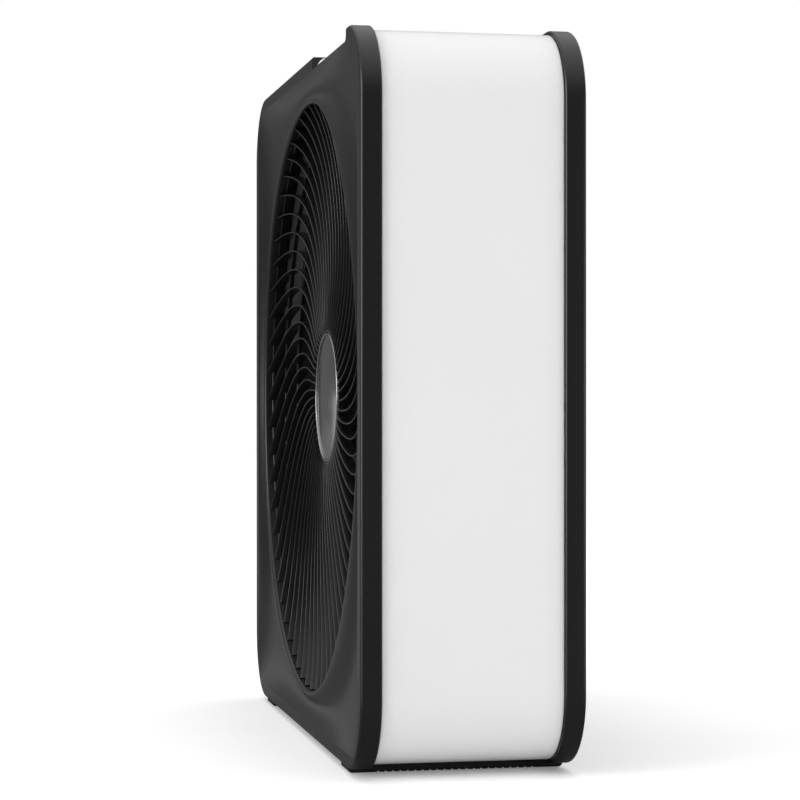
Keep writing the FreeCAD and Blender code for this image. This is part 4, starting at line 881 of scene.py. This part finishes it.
# ------------------------------------------------------------------ knob and feet
def knob_body(cx, cy, z0, skirt, radius):
    """Round skirt with flutes, under the grip."""
    rows = []
    levels = [(0.02, z0, 0), (0.96, z0, 0), (1.0, z0 + 0.5, 1),          # share of radius, height, flute
              (1.0, skirt - 1.2, 1), (0.985, skirt - 0.4, 0.7), (0.955, skirt, 0.2),
              (0.90, skirt, 0), (0.70, skirt - 0.5, 0), (0.02, skirt - 0.7, 0)]
    for share, z, flute in levels:
        row = []
        for a in turns(FLUTES * 10):
            r = radius * share - FLUTE_DEPTH * flute * max(0.0, math.cos(FLUTES * a)) ** 2
            row.append((cx + r * math.cos(a), cy + r * math.sin(a), z))
        rows.append(row)
    return grid(rows)


def knob_grip(cx, cy, skirt, top, reach):
    """Bar across the knob that fingers hold, narrower toward its top."""
    rows = []
    levels = [(skirt - 1.5, 3.0, 0.0), (top - 1.4, 2.7, 0.2), (top - 0.5, 2.2, 0.8), (top, 1.3, 1.8)]
    for z, half, cut_back in levels:
        section = rounded_bar(2 * half, 2 * (reach - cut_back), half * GRIP_SIDE, 6)
        rows.append([(cx + u, cy + v, z) for u, v in section])
    return capped(rows)


def knob_pieces():
    low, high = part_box("control_knob")
    cx, cy = (low.x + high.x) / 2 / MM, (low.y + high.y) / 2 / MM
    z0, z1 = low.z / MM, high.z / MM
    radius = (high.x - low.x) / 2 / MM
    skirt = z0 + (z1 - z0) * SKIRT_SHARE
    reach = radius - GRIP_INSET
    knob = joined([knob_body(cx, cy, z0, skirt, radius), knob_grip(cx, cy, skirt, z1, reach)])
    new_object("knob_grip", *knob, "speed_control", "knob_plastic", KNOB, ("control_knob",))
    section = rounded_bar(POINTER_W, POINTER_L, POINTER_EDGE_R, 4)
    crown = z1 + SEAT_LIFT
    rows = [[(cx + u, cy - reach * POINTER_AT + v, z) for u, v in section]
            for z in (crown - POINTER_T, crown)]
    new_object("knob_pointer", *capped(rows), "speed_control", "knob_plastic", MARK)
    dots = []
    for step in range(4):
        a = math.radians(-90 - DOT_STEP_DEG * step)
        x, y = cx + (radius + DOT_GAP) * math.cos(a), cy + (radius + DOT_GAP) * math.sin(a)
        size = DOT_R + DOT_GROWTH * step
        dots.append(capped([[(x + size * math.cos(b), y + size * math.sin(b), z) for b in turns(20)]
                            for z in (DECK_FLOOR - DOT_SINK, DECK_FLOOR + DOT_PROUD)]))
    new_object("speed_marks", *joined(dots), "housing", "knob_plastic", MARK)


def foot_piece(node):
    """Rubber rail with chamfered ends and shallow grip grooves across its sole."""
    low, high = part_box(node)
    x0, x1 = low.x / MM, high.x / MM
    y0, y1 = low.y / MM, high.y / MM
    chamfer = FOOT_CHAMFER
    edge, rise = FOOT_SOLE_EDGE
    stations = [(y0, chamfer), (y0 + chamfer, 0.0), (BAND_FRONT_Y - FOOT_CLEARANCE, 0.0)]
    span = BAND_REAR_Y - BAND_FRONT_Y - 2 * GROOVE_MARGIN
    for k in range(GROOVES):
        at = BAND_FRONT_Y + GROOVE_MARGIN + span * (k + 0.5) / GROOVES
        stations += [(at - GROOVE_TOP, 0.0), (at - GROOVE_FLOOR, GROOVE_DEPTH),
                     (at + GROOVE_FLOOR, GROOVE_DEPTH), (at + GROOVE_TOP, 0.0)]
    stations += [(BAND_REAR_Y + FOOT_CLEARANCE, 0.0), (y1 - chamfer, 0.0), (y1, chamfer)]
    rows = []
    for y, lift in stations:
        inside = BAND_FRONT_Y < y < BAND_REAR_Y
        roof = (BAND_LOW.z if inside else BEZEL_LOW.z) / MM
        shoulder = rise + lift * 0.5
        rows.append([(x0, y, roof), (x0, y, chamfer), (x0 + edge, y, shoulder), (x0 + chamfer, y, lift),
                     (x1 - chamfer, y, lift), (x1 - edge, y, shoulder), (x1, y, chamfer), (x1, y, roof)])
    piece = new_object(node + "_rubber", *capped(rows), "housing", "foot_rubber", RUBBER, (node,))
    smooth(piece, FOOT_SMOOTH_DEG)


# ------------------------------------------------------------------ CAD nodes that stay
def dress():
    kept = {
        "shroud": DUCT, "fan_blade": BLADE, "blade_nut": BLADE, "motor_shaft": ZINC, "rotor_core": LAMINATE,
        "thrust_washers": ZINC, "motor_front_bell": CASTING, "motor_rear_bell": CASTING,
        "front_bearing": BRONZE, "rear_bearing": BRONZE, "stator_core": LAMINATE, "stator_windings": WIRE,
        "motor_bracket": SHEET, "motor_bolts": ZINC, "control_box": DUCT, "switch_spindle": ZINC,
        "speed_switch": BAKELITE, "capacitor": BAKELITE, "terminal_block": BAKELITE, "supply_lead": SLEEVE,
        "motor_lead": SLEEVE, "cord_gland": RUBBER, "housing_screws": ZINC, "grille_screws": ZINC,
        "bracket_screws": ZINC, "control_box_screws": ZINC,
    }
    for node, material in kept.items():
        thing = frame["nodes"][node]
        if not thing.material_slots:
            thing.data.materials.append(material)
        for entry in thing.material_slots:
            entry.material = material


# ------------------------------------------------------------------ stage, light and camera
def ray_mix(nodes, links, kind, there, elsewhere):
    """One value for rays of one kind, such as those from the camera, and another for the rest."""
    path = nodes.new("ShaderNodeLightPath")
    mix = nodes.new("ShaderNodeMix")
    mix.data_type = "RGBA"
    links.new(path.outputs[kind], mix.inputs["Factor"])
    for socket, value in ((mix.inputs[6], elsewhere), (mix.inputs[7], there)):
        if isinstance(value, float):
            socket.default_value = (value, value, value, 1.0)
        else:
            links.new(value, socket)
    return mix.outputs[2]


def stage():
    """Pale floor. Glossy pieces see it darker, as they would a studio table."""
    size = FLOOR_SIZE
    mesh = bpy.data.meshes.new("floor")
    corners = [(-size, -size), (size, -size), (size, size), (-size, size)]
    mesh.from_pydata([(x, y, -FLOOR_DROP) for x, y in corners], [], [(0, 1, 2, 3)])
    floor = bpy.data.objects.new("floor", mesh)
    bpy.context.scene.collection.objects.link(floor)
    pale, nodes, links, shader = base_material("pale_floor")
    cloud = noise(nodes, links, 3.0, 3.0)
    tone = ramp(nodes, links, cloud.outputs["Fac"], *FLOOR_TONES)
    links.new(ray_mix(nodes, links, "Is Glossy Ray", FLOOR_IN_GLOSS, tone), shader.inputs["Base Color"])
    links.new(ray_mix(nodes, links, "Is Camera Ray", FLOOR_LIFT, 0.0), shader.inputs["Emission Color"])
    shader.inputs["Emission Strength"].default_value = 1.0
    shader.inputs["Roughness"].default_value = 0.9
    shader.inputs["Specular IOR Level"].default_value = 0.0
    floor.data.materials.append(pale)


def world():
    """White backdrop; a dim room with a bright ceiling lights the object."""
    studio = bpy.data.worlds.new("studio")
    studio.use_nodes = True
    nodes, links = studio.node_tree.nodes, studio.node_tree.links
    background = nodes["Background"]
    coordinates = nodes.new("ShaderNodeTexCoord")
    split = nodes.new("ShaderNodeSeparateXYZ")
    links.new(coordinates.outputs["Generated"], split.inputs["Vector"])
    room = ramp(nodes, links, split.outputs["Z"], ROOM_DIM, ROOM_CEILING, ROOM_DIM_TO, 1.0)
    shown = ray_mix(nodes, links, "Is Camera Ray", 1.0 / ROOM_STRENGTH, room)
    links.new(shown, background.inputs["Color"])
    background.inputs["Strength"].default_value = ROOM_STRENGTH
    bpy.context.scene.world = studio
    bpy.context.scene.view_settings.view_transform = "Standard"


def aimed(name, data, location, direction):
    """A light or camera that looks along a direction."""
    thing = bpy.data.objects.new(name, data)
    bpy.context.scene.collection.objects.link(thing)
    thing.location = location
    thing.rotation_mode = "QUATERNION"
    thing.rotation_quaternion = direction.to_track_quat("-Z", "Y")
    return thing


def area_light(name, location, target, size, power):
    data = bpy.data.lights.new(name, "AREA")
    data.shape = "RECTANGLE"
    data.size, data.size_y = size
    data.energy = power
    aimed(name, data, location, Vector(target) - Vector(location))


def camera():
    azimuth = math.radians(CAMERA_AZIMUTH)
    target = Vector((0.0, CAMERA_AIM_Y, (cad_box[0].z + cad_box[1].z) / 2))
    back = Vector((math.sin(azimuth), -math.cos(azimuth), 0.0))
    data = bpy.data.cameras.new("camera")
    data.lens = CAMERA_LENS
    data.sensor_width = 36.0
    bpy.context.scene.camera = aimed("camera", data, target + back * CAMERA_DISTANCE, -back)


front_bezel_piece()
rear_bezel_piece()
band_piece()
deck_piece()
cheek_piece()
front_grille_pieces()
hub_cap_pieces()
rear_grille_pieces()
screws()
knob_pieces()
foot_piece("foot_rail_left")
foot_piece("foot_rail_right")
dress()
stage()
world()
camera()
for light in LIGHTS:
    area_light(*light)
